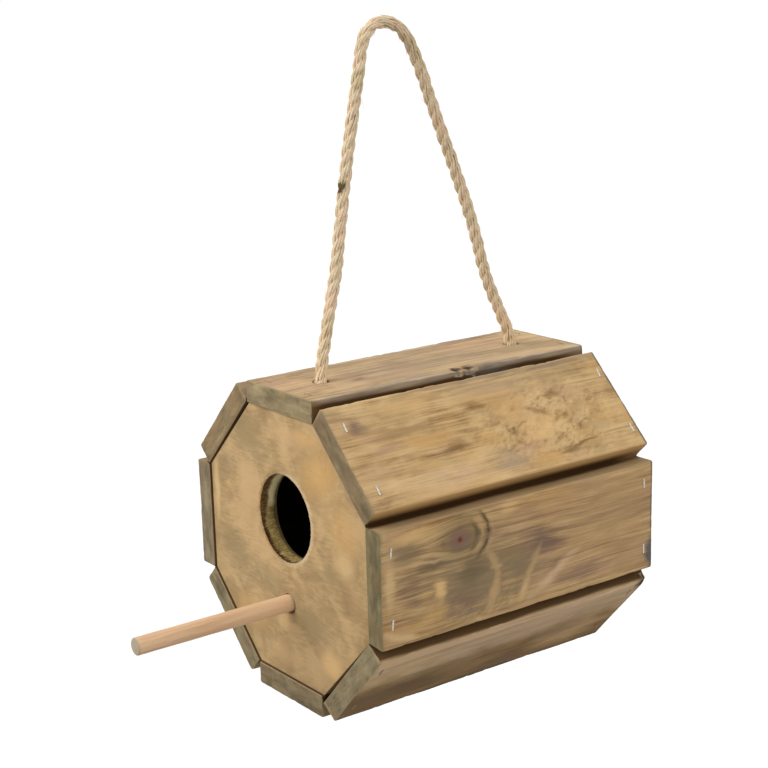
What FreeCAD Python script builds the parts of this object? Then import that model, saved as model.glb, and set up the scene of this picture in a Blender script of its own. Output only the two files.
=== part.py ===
# Nesting barrel: eight stapled boards round two octagonal end panels, with a perch and a rope hanger.
# Frame: origin where a hook seats under the rope's bight, +X to the right of the entrance,
# +Y from the entrance towards the back, +Z up. Millimetres.
import FreeCAD, Part
import math
import os
import PartDesign
import Sketcher

Vector = FreeCAD.Vector

# Driving dimensions: alias, value, what it is
SIZES = [
    ("slat_width", 65, "board width, as wide as one side of the octagon"),
    ("slat_thickness", 13, "board thickness"),
    ("slat_length", 198, "board length, outside of panel to outside of panel"),
    ("slat_edge_radius", 0.8, "eased long edges of the boards"),
    ("seam_gap", 0.3, "play between the inner edges of neighbouring boards"),
    ("panel_thickness", 12, "end panel thickness"),
    ("entrance_diameter", 51, "entrance hole"),
    ("entrance_rise", 17.3, "entrance centre above the panel centre"),
    ("perch_diameter", 10, "perch dowel"),
    ("perch_reach", 97, "perch length in front of the panel"),
    ("perch_drop", 33, "perch axis below the panel centre"),
    ("perch_clearance", 0.1, "glue gap round the perch"),
    ("perch_chamfer", 0.6, "broken edge at the perch tip"),
    ("rope_diameter", 7.5, "three-strand rope"),
    ("rope_hole_diameter", 10, "rope holes in the top board"),
    ("rope_hole_inset", 29, "rope hole centre from each board end"),
    ("rope_swing_gap", 0.3, "air between the swinging leg ends and the top board"),
    ("hook_rise", 191, "hook seat above the top board"),
    ("hook_setback", 79, "hook seat behind the front board ends"),
    ("knot_diameter", 21, "stopper knot under the top board"),
    ("knot_centre_drop", 7, "knot centre below the board's inner face"),
    ("knot_tail", 22, "loose rope end below the knot"),
    ("staple_crown", 6, "staple width over its legs"),
    ("staple_wire", 1.2, "staple wire, along the board"),
    ("staple_thickness", 0.9, "staple wire, across the bend"),
    ("staple_leg", 25, "staple height"),
    ("staple_sink", 1, "depth of the crown's slot in the board"),
    ("staple_spacing", 40, "between the two staples at a board end"),
    ("staple_inset", 7, "staple from the board end"),
    ("staple_clearance", 0.05, "play round the staple wire"),
]

# The boards round the octagon, clockwise seen from the front, from the one that faces straight up
SLATS = [
    "top_slat", "upper_right_slat", "right_slat", "lower_right_slat",
    "bottom_slat", "lower_left_slat", "left_slat", "upper_left_slat",
]

# The rope's loop between its two pivots: distance behind the hook seat, height above it.
# The two points at the top stand on the rope's own radius, because the hook bears under them.
FRONT_LEG = [(-44.5, -161), (-36.5, -129), (-32, -99), (-26.5, -67), (-21, -39), (-16.5, -18.5), (-13.7, -3.6)]
BIGHT_HALF_WIDTH = 5.5
REAR_LEG = [(14.5, -2), (23, -17), (32.5, -42), (49, -82), (62, -115), (70, -146), (83, -173)]
ARC_SHARE = 0.45

doc = FreeCAD.newDocument("nesting_barrel")
sheet = doc.addObject("Spreadsheet::Sheet", "Sizes")
for row, (alias, value, note) in enumerate(SIZES, 1):
    sheet.set(f"A{row}", str(value))
    sheet.setAlias(f"A{row}", alias)
    sheet.set(f"B{row}", note)
doc.recompute()

# Sizes that several pieces share, as formulas on the sheet
PANEL_SIDE = "(Sizes.slat_width + Sizes.seam_gap)"
APOTHEM = f"({PANEL_SIDE} * (1 + sqrt(2)) / 2)"
CENTRE_Z = f"(-Sizes.hook_rise - Sizes.slat_thickness - {APOTHEM})"
FRONT_Y = "(-Sizes.hook_setback)"
MIDDLE_Y = f"({FRONT_Y} + Sizes.slat_length / 2)"
STAPLE_Y = "(Sizes.slat_length / 2 - Sizes.staple_inset)"
HOLE_Y = "(Sizes.slat_length / 2 - Sizes.rope_hole_inset)"
CROWN_BASE = "(Sizes.slat_thickness - Sizes.staple_sink)"
LEG_REACH = f"(Sizes.staple_leg - Sizes.staple_thickness - {CROWN_BASE})"


def number(formula):
    """The value of a formula on the sheet, in millimetres."""
    value = sheet.evalExpression(formula)
    return float(getattr(value, "Value", value))


def new_body(label):
    body = doc.addObject("PartDesign::Body", label)
    body.Label = label
    return body


def origin_part(body, role):
    return next(part for part in body.Origin.OriginFeatures if part.Role == role)


def new_sketch(body, name, role, offset=None):
    """A sketch on one of the body's own planes, moved along the plane's normal by a formula."""
    sketch = body.newObject("Sketcher::SketchObject", f"{body.Label}_{name}")
    sketch.AttachmentSupport = [(origin_part(body, role), "")]
    sketch.MapMode = "FlatFace"
    if offset:
        sketch.setExpression("AttachmentOffset.Base.z", offset)
    doc.recompute()
    return sketch


def bind(sketch, name, constraint, formula):
    """Adds a dimension to a sketch and ties it to the sheet."""
    index = sketch.addConstraint(constraint)
    sketch.renameConstraint(index, name)
    sketch.setExpression(f"Constraints.{name}", formula)


def place_point(sketch, name, edge, end, across, up):
    """Fixes one end of an edge at two formulas, measured from the sketch's origin."""
    for kind, formula in (("DistanceX", across), ("DistanceY", up)):
        constraint = Sketcher.Constraint(kind, -1, 1, edge, end, number(formula))
        bind(sketch, f"{name}_{kind[-1].lower()}", constraint, formula)


def add_outline(sketch, name, corners):
    """A closed outline of straight lines whose corners are pairs of formulas."""
    points = [Vector(number(across), number(up), 0) for across, up in corners]
    first = sketch.GeometryCount
    for start, end in zip(points, points[1:] + points[:1]):
        sketch.addGeometry(Part.LineSegment(start, end), False)
    for i, (across, up) in enumerate(corners):
        before = first + (i - 1) % len(corners)
        sketch.addConstraint(Sketcher.Constraint("Coincident", before, 2, first + i, 1))
        place_point(sketch, f"{name}_{i}", first + i, 1, across, up)


def add_rectangle(sketch, name, centre, size):
    (x, y), (width, height) = centre, size
    left, right = f"{x} - ({width}) / 2", f"{x} + ({width}) / 2"
    low, high = f"{y} - ({height}) / 2", f"{y} + ({height}) / 2"
    add_outline(sketch, name, [(left, low), (right, low), (right, high), (left, high)])


def add_circle(sketch, name, centre, diameter):
    x, y = centre
    shape = Part.Circle(Vector(number(x), number(y), 0), Vector(0, 0, 1), number(diameter) / 2)
    index = sketch.addGeometry(shape, False)
    place_point(sketch, f"{name}_centre", index, 3, x, y)
    constraint = Sketcher.Constraint("Diameter", index, number(diameter))
    bind(sketch, f"{name}_diameter", constraint, diameter)


def pad(body, sketch, length, side="Symmetric"):
    feature = body.newObject("PartDesign::Pad", f"{sketch.Name}_pad")
    feature.Profile = sketch
    feature.SideType = side
    feature.setExpression("Length", length)
    doc.recompute()
    return feature


def pocket(body, sketch, depth=None):
    """Cuts a sketch out of the body, to a depth or right through, and makes sure that something was cut."""
    before = body.Shape.Volume
    feature = body.newObject("PartDesign::Pocket", f"{sketch.Name}_pocket")
    feature.Profile = sketch
    if depth:
        feature.setExpression("Length", depth)
    else:
        feature.SideType = "Symmetric"
        feature.Type = "ThroughAll"
    doc.recompute()
    if body.Shape.Volume >= before:
        raise RuntimeError(f"{feature.Name} cut nothing")
    return feature


def repeat_along(body, features, length):
    """The same features again at the other end of the board."""
    pattern = body.newObject("PartDesign::LinearPattern", f"{body.Label}_other_end")
    pattern.Originals = features
    pattern.Direction = (origin_part(body, "Y_Axis"), [""])
    pattern.setExpression("Length", length)
    pattern.Occurrences = 2
    body.Tip = pattern
    doc.recompute()


def put(body, x, y, z, turn=0):
    """Stands a body at three formulas, turned about the barrel's axis."""
    body.Placement = FreeCAD.Placement(Vector(), FreeCAD.Rotation(Vector(0, 1, 0), turn))
    for letter, formula in (("x", x), ("y", y), ("z", z)):
        body.setExpression(f"Placement.Base.{letter}", formula)


def put_on_side(body, turn):
    """Stands a board, or what is fixed to it, with its inner face on one side of the octagon."""
    x = f"{APOTHEM} * sin({turn} deg)"
    z = f"{CENTRE_Z} + {APOTHEM} * cos({turn} deg)"
    put(body, x, MIDDLE_Y, z, turn)


STAPLE_SIDES = {"left": "(-Sizes.staple_spacing / 2)", "right": "(Sizes.staple_spacing / 2)"}
LEG_SHIFT = "(Sizes.staple_crown - Sizes.staple_thickness) / 2"
LEG_SLOT = ("Sizes.staple_thickness + 2 * Sizes.staple_clearance", "Sizes.staple_wire + 2 * Sizes.staple_clearance")
CROWN_SLOT = ("Sizes.staple_crown + 2 * Sizes.staple_clearance", LEG_SLOT[1])


def add_leg_slots(sketch, y):
    for side, x in STAPLE_SIDES.items():
        add_rectangle(sketch, f"{side}_a", (f"{x} - {LEG_SHIFT}", y), LEG_SLOT)
        add_rectangle(sketch, f"{side}_b", (f"{x} + {LEG_SHIFT}", y), LEG_SLOT)


def make_slat(label, turn):
    """A board: X across, Y along the barrel, Z outwards from its inner face."""
    body = new_body(label)
    section = new_sketch(body, "section", "XZ_Plane")
    middle = ("0", "Sizes.slat_thickness / 2")
    add_rectangle(section, "section", middle, ("Sizes.slat_width", "Sizes.slat_thickness"))
    board = pad(body, section, "Sizes.slat_length")
    ease_long_edges(body, board)
    front = f"-{STAPLE_Y}"
    crowns = new_sketch(body, "crowns", "XY_Plane", "Sizes.slat_thickness")
    for side, x in STAPLE_SIDES.items():
        add_rectangle(crowns, side, (x, front), CROWN_SLOT)
    legs = new_sketch(body, "legs", "XY_Plane")
    add_leg_slots(legs, front)
    slots = [pocket(body, crowns, "Sizes.staple_sink"), pocket(body, legs)]
    repeat_along(body, slots, f"2 * {STAPLE_Y}")
    put_on_side(body, turn)
    return body


def ease_long_edges(body, board):
    along = [
        f"Edge{i}"
        for i, edge in enumerate(board.Shape.Edges, 1)
        if abs(edge.tangentAt(edge.FirstParameter).y) > 0.99
    ]
    fillet = body.newObject("PartDesign::Fillet", f"{body.Label}_eased_edges")
    fillet.Base = (board, along)
    fillet.setExpression("Radius", "Sizes.slat_edge_radius")
    doc.recompute()


def drill_rope_holes(body):
    """The two holes in the top board that the rope goes through."""
    holes = new_sketch(body, "rope_holes", "XY_Plane")
    add_circle(holes, "front", ("0", f"-{HOLE_Y}"), "Sizes.rope_hole_diameter")
    add_circle(holes, "rear", ("0", HOLE_Y), "Sizes.rope_hole_diameter")
    pocket(body, holes)


def make_staples(slat_label, turn):
    """The four staples of one board, standing in the board's own frame."""
    body = new_body(f"{slat_label}_staples")
    body.AllowCompound = True
    bends = new_sketch(body, "bends", "XZ_Plane", STAPLE_Y)
    top = f"({CROWN_BASE} + Sizes.staple_thickness)"
    tip = f"({top} - Sizes.staple_leg)"
    for side, x in STAPLE_SIDES.items():
        left, right = f"{x} - Sizes.staple_crown / 2", f"{x} + Sizes.staple_crown / 2"
        left_in, right_in = f"{left} + Sizes.staple_thickness", f"{right} - Sizes.staple_thickness"
        outline = [
            (left, tip), (left_in, tip), (left_in, CROWN_BASE), (right_in, CROWN_BASE),
            (right_in, tip), (right, tip), (right, top), (left, top),
        ]
        add_outline(bends, side, outline)
    wire = pad(body, bends, "Sizes.staple_wire")
    repeat_along(body, [wire], f"2 * {STAPLE_Y}")
    put_on_side(body, turn)
    return body


def make_panel(label, front_y):
    """An octagonal end panel: Y runs from its front face to its back face, the centre is on the axis."""
    body = new_body(label)
    outline = new_sketch(body, "octagon", "XZ_Plane", "-Sizes.panel_thickness / 2")
    half_side = f"{PANEL_SIDE} / 2"
    quadrant = [(half_side, APOTHEM), (APOTHEM, half_side)]
    corners = quadrant + [(x, f"-({z})") for x, z in reversed(quadrant)]
    corners += [(f"-({x})", z) for x, z in reversed(corners)]
    add_outline(outline, "corner", corners)
    pad(body, outline, "Sizes.panel_thickness")
    put(body, "0", front_y, CENTRE_Z)
    return body


def cut_leg_slots(body, staple_y):
    """Slots for the staple legs in all eight edges of a panel."""
    legs = new_sketch(body, "legs", "XY_Plane", APOTHEM)
    add_leg_slots(legs, staple_y)
    slots = pocket(body, legs, f"{LEG_REACH} + Sizes.staple_clearance")
    ring = body.newObject("PartDesign::PolarPattern", f"{body.Label}_all_edges")
    ring.Originals = [slots]
    ring.Axis = (origin_part(body, "Y_Axis"), [""])
    ring.Angle = 360
    ring.Occurrences = len(SLATS)
    body.Tip = ring
    doc.recompute()


def bore_panel(body, name, up, diameter):
    hole = new_sketch(body, name, "XZ_Plane")
    add_circle(hole, name, ("0", up), diameter)
    pocket(body, hole)


def revolve(body, sketch):
    feature = body.newObject("PartDesign::Revolution", f"{sketch.Name}_turned")
    feature.Profile = sketch
    feature.ReferenceAxis = (sketch, ["V_Axis"])
    feature.Angle = 360
    doc.recompute()
    return feature


def make_perch():
    """A dowel turned about the sketch's upright axis, which lies along the barrel."""
    body = new_body("perch")
    profile = new_sketch(body, "profile", "XY_Plane")
    radius, reach = "Sizes.perch_diameter / 2", "Sizes.perch_reach"
    outline = [
        ("0", f"-{reach}"),
        (f"{radius} - Sizes.perch_chamfer", f"-{reach}"),
        (radius, f"-{reach} + Sizes.perch_chamfer"),
        (radius, "Sizes.panel_thickness"),
        ("0", "Sizes.panel_thickness"),
    ]
    add_outline(profile, "profile", outline)
    revolve(body, profile)
    put(body, "0", FRONT_Y, f"{CENTRE_Z} - Sizes.perch_drop")
    return body


def make_knot(label, y):
    """The rope's end: up through the board, and a stopper knot that bears under it, Z up from the bearing face."""
    body = new_body(label)
    profile = new_sketch(body, "profile", "XZ_Plane")
    rope, ball = number("Sizes.rope_diameter / 2"), number("Sizes.knot_diameter / 2")
    drop, thick = number("Sizes.knot_centre_drop"), number("Sizes.slat_thickness")
    seat = math.sqrt(ball ** 2 - drop ** 2)
    foot = drop + math.sqrt(ball ** 2 - rope ** 2)
    end = foot + number("Sizes.knot_tail")
    start_angle, stop_angle = math.atan2(drop - foot, rope), math.atan2(drop, seat)
    axis_top, rope_top = Vector(0, thick, 0), Vector(rope, thick, 0)
    rope_foot, seat_edge = Vector(rope, 0, 0), Vector(seat, 0, 0)
    ball_foot, tail_side, tail_axis = Vector(rope, -foot, 0), Vector(rope, -end, 0), Vector(0, -end, 0)
    lines = [
        (axis_top, rope_top), (rope_top, rope_foot), (rope_foot, seat_edge),
        (ball_foot, tail_side), (tail_side, tail_axis), (tail_axis, axis_top),
    ]
    for line in lines:
        profile.addGeometry(Part.LineSegment(*line), False)
    circle = Part.Circle(Vector(0, -drop, 0), Vector(0, 0, 1), ball)
    arc = profile.addGeometry(Part.ArcOfCircle(circle, start_angle, stop_angle), False)
    joins = [(0, 2, 1, 1), (1, 2, 2, 1), (2, 2, arc, 2), (arc, 1, 3, 1), (3, 2, 4, 1), (4, 2, 5, 1), (5, 2, 0, 1)]
    for join in joins:
        profile.addConstraint(Sketcher.Constraint("Coincident", *join))
    for line in (0, 2, 4):
        profile.addConstraint(Sketcher.Constraint("Horizontal", line))
    for line in (1, 3):
        profile.addConstraint(Sketcher.Constraint("Vertical", line))
    place_point(profile, "rope_top", 0, 2, "Sizes.rope_diameter / 2", "Sizes.slat_thickness")
    place_point(profile, "ball", arc, 3, "0", "-Sizes.knot_centre_drop")
    profile.addConstraint(Sketcher.Constraint("PointOnObject", 0, 1, -2))
    profile.addConstraint(Sketcher.Constraint("PointOnObject", 4, 2, -2))
    profile.addConstraint(Sketcher.Constraint("PointOnObject", 1, 2, -1))
    bind(profile, "ball_radius", Sketcher.Constraint("Radius", arc, ball), "Sizes.knot_diameter / 2")
    tail_x = Sketcher.Constraint("DistanceX", -1, 1, 3, 1, rope)
    bind(profile, "tail_x", tail_x, "Sizes.rope_diameter / 2")
    tail_length = Sketcher.Constraint("DistanceY", 3, 2, 3, 1, end - foot)
    bind(profile, "tail_length", tail_length, "Sizes.knot_tail")
    revolve(body, profile)
    put(body, "0", y, f"{CENTRE_Z} + {APOTHEM}")
    return body


def rope_path(points):
    """Straight runs joined by tangent arcs, each as large as its two runs allow."""
    edges, radii, last = [], [], points[0]
    for before, corner, after in zip(points, points[1:], points[2:]):
        run_in, run_out = corner - before, after - corner
        reach = ARC_SHARE * min(run_in.Length, run_out.Length)
        half_turn = run_in.getAngle(run_out) / 2
        radius = reach / math.tan(half_turn)
        run_in.normalize()
        run_out.normalize()
        start, end = corner - run_in * reach, corner + run_out * reach
        inward = run_out - run_in
        inward.normalize()
        middle = corner + inward * (radius / math.cos(half_turn) - radius)
        edges.append(Part.LineSegment(last, start).toShape())
        edges.append(Part.Arc(start, middle, end).toShape())
        radii.append(radius)
        last = end
    edges.append(Part.LineSegment(last, points[-1]).toShape())
    return Part.Wire(edges), radii


def make_rope_loop():
    """The free loop of rope: over the hook from pivot to pivot, with round ends that turn just above the top board."""
    radius = number("Sizes.rope_diameter / 2")
    pivot_z = number("-Sizes.hook_rise + Sizes.rope_diameter / 2 + Sizes.rope_swing_gap")
    front_pivot = Vector(0, number(f"{MIDDLE_Y} - {HOLE_Y}"), pivot_z)
    rear_pivot = Vector(0, number(f"{MIDDLE_Y} + {HOLE_Y}"), pivot_z)
    bight = [(-BIGHT_HALF_WIDTH, radius), (BIGHT_HALF_WIDTH, radius)]
    route = [Vector(0, y, z) for y, z in FRONT_LEG + bight + REAR_LEG]
    path, radii = rope_path([front_pivot] + route + [rear_pivot])
    front_run, rear_run = route[0] - front_pivot, route[-1] - rear_pivot
    section = Part.Wire(Part.makeCircle(radius, front_pivot, front_run))
    tube = path.makePipeShell([section], True, False)
    front_end = Part.makeSphere(radius, front_pivot, front_run, -90, 0, 360)
    rear_end = Part.makeSphere(radius, rear_pivot, rear_run, -90, 0, 360)
    loop = doc.addObject("Part::Feature", "rope_loop")
    loop.Shape = tube.fuse([front_end, rear_end])
    loop.Label = "rope_loop"
    loop.Placement = FreeCAD.Placement()
    straight = math.pi * radius ** 2 * path.Length
    print("rope loop", round(path.Length, 1), "mm, tube volume over section times length", tube.Volume / straight)
    print("rope bend radii in diameters", [round(r / (2 * radius), 1) for r in radii])
    return loop


pieces = []
for order, slat_label in enumerate(SLATS):
    slat_turn = order * 360 / len(SLATS)
    slat = make_slat(slat_label, slat_turn)
    if slat_label == "top_slat":
        drill_rope_holes(slat)
    pieces += [slat, make_staples(slat_label, slat_turn)]

front_panel = make_panel("front_panel", FRONT_Y)
bore_panel(front_panel, "entrance", "Sizes.entrance_rise", "Sizes.entrance_diameter")
bore_panel(front_panel, "perch_hole", "-Sizes.perch_drop", "Sizes.perch_diameter + 2 * Sizes.perch_clearance")
cut_leg_slots(front_panel, "Sizes.staple_inset")
back_panel = make_panel("back_panel", f"{FRONT_Y} + Sizes.slat_length - Sizes.panel_thickness")
cut_leg_slots(back_panel, "Sizes.panel_thickness - Sizes.staple_inset")

pieces += [
    front_panel,
    back_panel,
    make_perch(),
    make_knot("front_rope_knot", f"{MIDDLE_Y} - {HOLE_Y}"),
    make_knot("rear_rope_knot", f"{MIDDLE_Y} + {HOLE_Y}"),
    make_rope_loop(),
]
doc.recompute()

for item in doc.Objects:
    if "Invalid" in item.State or "Error" in item.State:
        raise RuntimeError(f"{item.Name} failed: {item.State}")
for piece in pieces:
    if piece.Shape.isNull() or not piece.Shape.isValid():
        raise RuntimeError(f"{piece.Label} has no valid shape")

os.makedirs("parts", exist_ok=True)
for piece in pieces:
    piece.Shape.exportStep(f"parts/{piece.Label}.step")
    print(piece.Label, len(piece.Shape.Solids), "solids", round(piece.Shape.Volume), "mm3")
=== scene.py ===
import math
import random
from types import SimpleNamespace

import bmesh
import bpy
from bpy.props import FloatProperty, FloatVectorProperty, IntProperty, PointerProperty
from mathutils import Matrix, Vector, noise


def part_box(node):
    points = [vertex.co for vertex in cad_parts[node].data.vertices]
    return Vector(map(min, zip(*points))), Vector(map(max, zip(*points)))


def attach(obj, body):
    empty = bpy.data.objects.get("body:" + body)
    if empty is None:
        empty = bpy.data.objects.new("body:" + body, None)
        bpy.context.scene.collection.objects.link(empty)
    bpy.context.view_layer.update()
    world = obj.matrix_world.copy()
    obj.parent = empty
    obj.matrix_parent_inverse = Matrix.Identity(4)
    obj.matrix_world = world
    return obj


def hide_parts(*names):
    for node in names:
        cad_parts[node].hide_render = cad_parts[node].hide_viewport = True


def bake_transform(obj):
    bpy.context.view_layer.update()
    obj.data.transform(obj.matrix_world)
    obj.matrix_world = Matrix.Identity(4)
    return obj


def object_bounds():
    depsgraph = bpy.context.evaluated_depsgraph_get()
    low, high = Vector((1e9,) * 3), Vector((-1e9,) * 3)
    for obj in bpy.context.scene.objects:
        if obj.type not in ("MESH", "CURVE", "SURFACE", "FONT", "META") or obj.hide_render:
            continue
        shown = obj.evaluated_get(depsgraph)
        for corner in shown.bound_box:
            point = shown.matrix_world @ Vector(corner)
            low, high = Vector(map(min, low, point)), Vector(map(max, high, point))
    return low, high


bl_info = {
    "name": "Nesting Barrel",
    "version": (1, 0, 0),
    "blender": (4, 5, 0),
    "location": "3D View > Sidebar > Nest",
    "description": "Dresses the packed nesting barrel: stained boards, panels, perch, staples and rope",
    "category": "Object",
}

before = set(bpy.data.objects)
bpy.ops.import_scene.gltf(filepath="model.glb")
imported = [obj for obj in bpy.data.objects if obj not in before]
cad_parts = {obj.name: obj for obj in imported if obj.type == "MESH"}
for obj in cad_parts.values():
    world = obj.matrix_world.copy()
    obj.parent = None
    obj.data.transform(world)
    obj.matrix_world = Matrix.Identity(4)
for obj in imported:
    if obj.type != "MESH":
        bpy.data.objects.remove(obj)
CAD_LOW, CAD_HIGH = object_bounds()

MM = 0.001

# Where the solids are: a board's size and half size in millimetres, the panels and the perch
TOP_LOW, TOP_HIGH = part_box("top_slat")
BOARD_SIZE = TOP_HIGH - TOP_LOW
HALF_BOARD = BOARD_SIZE / 2 / MM
PANEL_LOW, PANEL_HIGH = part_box("front_panel")
BACK_LOW, BACK_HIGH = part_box("back_panel")
PERCH_LOW, PERCH_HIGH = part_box("perch")

# Boards: the play between their inner edges, the rounding of sawn rims, and each axis with its loops
SEAM = 0.3 * MM
END_ARRIS = 0.5 * MM
BOARD_CUTS = ((1, 79), (0, 47), (2, 5))

# Staples: the crown across, along and outwards, the legs, where the crown sits, and its dent in the board,
# with more room round a bright crown than round one that the stain has filled in
CROWN = Vector((6, 1.2, 0.9)) * MM
LEG = 23.9 * MM
WIRE_ROUND = 0.22 * MM
CROWN_SINK = 0.3 * MM
CROWN_TILT = 7
STAPLE_ACROSS = 20 * MM
STAPLE_INSET = 7 * MM
DENT_HEIGHT = 1.3 * MM
DENT_ROOM = {True: 0.3 * MM, False: 0.08 * MM}

# The entrance: millimetres above the panel's middle and its radius, and the torn fibres at its rim
ENTRANCE = (17.3, 25.5)
RIM_FIBRES = 150

# The perch hole, a little off the perch's own middle
PERCH_HOLE_SHIFT = Vector((0.9, 0, -0.15)) * MM
PERCH_HOLE_RADIUS = 6 * MM

# The rope's route from the front knot over the hook to the rear knot: metres behind and above the hook
ROPE_ROUTE = [
    (-0.050, -0.204), (-0.050, -0.18695),
    (-0.0445, -0.161), (-0.0365, -0.129), (-0.032, -0.099), (-0.0265, -0.067),
    (-0.021, -0.039), (-0.0165, -0.0185), (-0.0137, -0.0036),
    (-0.0055, 0.00375), (0.0055, 0.00375),
    (0.0145, -0.002), (0.023, -0.017), (0.0325, -0.042), (0.049, -0.082),
    (0.062, -0.115), (0.070, -0.146), (0.083, -0.173),
    (0.090, -0.18695), (0.090, -0.204),
]
ROPE_HOLES_Y = (ROPE_ROUTE[0][0], ROPE_ROUTE[-1][0])
ROPE_HOLE_RADIUS = 5 * MM

# The rope's make in shares of its diameter and lay, its loose fibres, and a dark mark in its front leg,
# painted shadow of a kink
STRANDS = 3
STRAND_REACH = 0.208
YARN_REACH = 0.195
YARN_RADIUS = 0.092
YARN_LAY = 0.75
HAIRS = 260
HAIR_REACH = 5.6 * MM
HAIR_STEPS = (0, 0.35, 0.7, 1.0)
HAIR_RADII = (0.16, 0.14, 0.11, 0.07)
ROPE_KINK_SHADE = dict(place=(0, -32.6, -84.5), turn=(math.radians(-31), 0, 0), size=(9, 1.3, 5.4))

# A stopper knot's wrap round the rope's end, in millimetres and points
WRAP_RADIUS = 6.9
WRAP_END_RADIUS = 3.0
WRAP_POINTS = 23
WRAP_POINTS_PER_TURN = 14
WRAP_TOP = -3.9
WRAP_FALL = 0.42

# The camera's lens, place and axes, and the floor's tones for light and for the eye
SENSOR = 36
LENS = 79.66
CAMERA_PLACE = (0.76558, -0.56665, 0.03468)
CAMERA_AXES = ((0.59608, 0.80244, -0.02802), (-0.17658, 0.16505, 0.97035), (0.78327, -0.57346, 0.24008))
FLOOR_SIZE = 30
FLOOR_BOUNCE = 0.35
FLOOR_WHITE = 0.9
FLOOR_GLOW = 0.12


# Properties

class BoardProps(bpy.types.PropertyGroup):
    arris: FloatProperty(
        name="Arris", description="Rounding of the boards' long edges", default=1.3 * MM, unit="LENGTH"
    )
    wear: FloatProperty(
        name="Wear", description="How far knocks have eaten into the edges", default=0.7 * MM, unit="LENGTH"
    )
    relief: FloatProperty(
        name="Relief", description="Height of the brushed grain", default=0.12 * MM, unit="LENGTH"
    )
    golden: FloatVectorProperty(
        name="Golden", description="Palest stain", default=(0.66, 0.45, 0.215), subtype="COLOR"
    )
    tan: FloatVectorProperty(
        name="Tan", description="Usual stain", default=(0.50, 0.315, 0.145), subtype="COLOR"
    )
    brown: FloatVectorProperty(
        name="Brown", description="Stain where the grain drinks it", default=(0.235, 0.135, 0.062),
        subtype="COLOR",
    )
    umber: FloatVectorProperty(
        name="Umber", description="Pores and the darkest grain", default=(0.075, 0.040, 0.020),
        subtype="COLOR",
    )
    weathered: FloatVectorProperty(
        name="Weathered", description="Grey worn edges", default=(0.44, 0.37, 0.275), subtype="COLOR"
    )


class PanelProps(bpy.types.PropertyGroup):
    play: FloatProperty(
        name="Play", description="Gap between a panel and the boards", default=0.4 * MM, unit="LENGTH"
    )
    recess: FloatProperty(
        name="Recess", description="How far the entrance panel's face sits in", default=1.5 * MM,
        unit="LENGTH",
    )
    rim_wear: FloatProperty(
        name="Rim wear", description="Roughness of the bored rim", default=0.12 * MM, unit="LENGTH"
    )


class RopeProps(bpy.types.PropertyGroup):
    diameter: FloatProperty(name="Diameter", description="Rope diameter", default=7.5 * MM, unit="LENGTH")
    lay: FloatProperty(
        name="Lay", description="Length of one turn of a strand", default=24 * MM, unit="LENGTH"
    )
    yarns: IntProperty(name="Yarns", description="Yarns in each strand", default=7)
    straw: FloatVectorProperty(
        name="Straw", description="Palest fibre", default=(0.94, 0.80, 0.58), subtype="COLOR"
    )
    dun: FloatVectorProperty(
        name="Dun", description="Darker fibre", default=(0.69, 0.525, 0.335), subtype="COLOR"
    )


class StageProps(bpy.types.PropertyGroup):
    floor_drop: FloatProperty(
        name="Floor drop", description="Floor below the barrel's base", default=0.6, unit="LENGTH"
    )
    key: FloatProperty(name="Key", description="Strength of the soft light above the entrance", default=2.26)
    side: FloatProperty(name="Side", description="Strength of the soft light on the right", default=1.0)
    rear: FloatProperty(name="Rear", description="Strength of the soft light behind", default=0.63)
    fill: FloatProperty(name="Fill", description="Strength of the even light all round", default=0.42)


class NestProps(bpy.types.PropertyGroup):
    boards: PointerProperty(type=BoardProps)
    panels: PointerProperty(type=PanelProps)
    rope: PointerProperty(type=RopeProps)
    stage: PointerProperty(type=StageProps)


# Shader nodes

class Field:
    """What one socket gives over a surface, with plain signs for the sums made from it."""

    def __init__(self, shade, socket):
        self.shade = shade
        self.socket = socket

    def combine(self, operation, other):
        plain = self.socket.type == "VALUE" and not isinstance(other, tuple)
        kind = "ShaderNodeMath" if plain else "ShaderNodeVectorMath"
        return self.shade.add(kind, {0: self, 1: other}, operation=operation)

    def __add__(self, other):
        return self.combine("ADD", other)

    def __radd__(self, other):
        return self + other

    def __sub__(self, other):
        return self.combine("SUBTRACT", other)

    def __rsub__(self, other):
        return self * -1.0 + other

    def __mul__(self, other):
        return self.combine("MULTIPLY", other)

    def __abs__(self):
        return self.combine("ABSOLUTE", 0.0)

    def larger(self, other):
        return self.combine("MAXIMUM", other)

    def smaller(self, other):
        return self.combine("MINIMUM", other)

    def length(self):
        return self.shade.add("ShaderNodeVectorMath", {0: self}, out="Value", operation="LENGTH")


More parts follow.
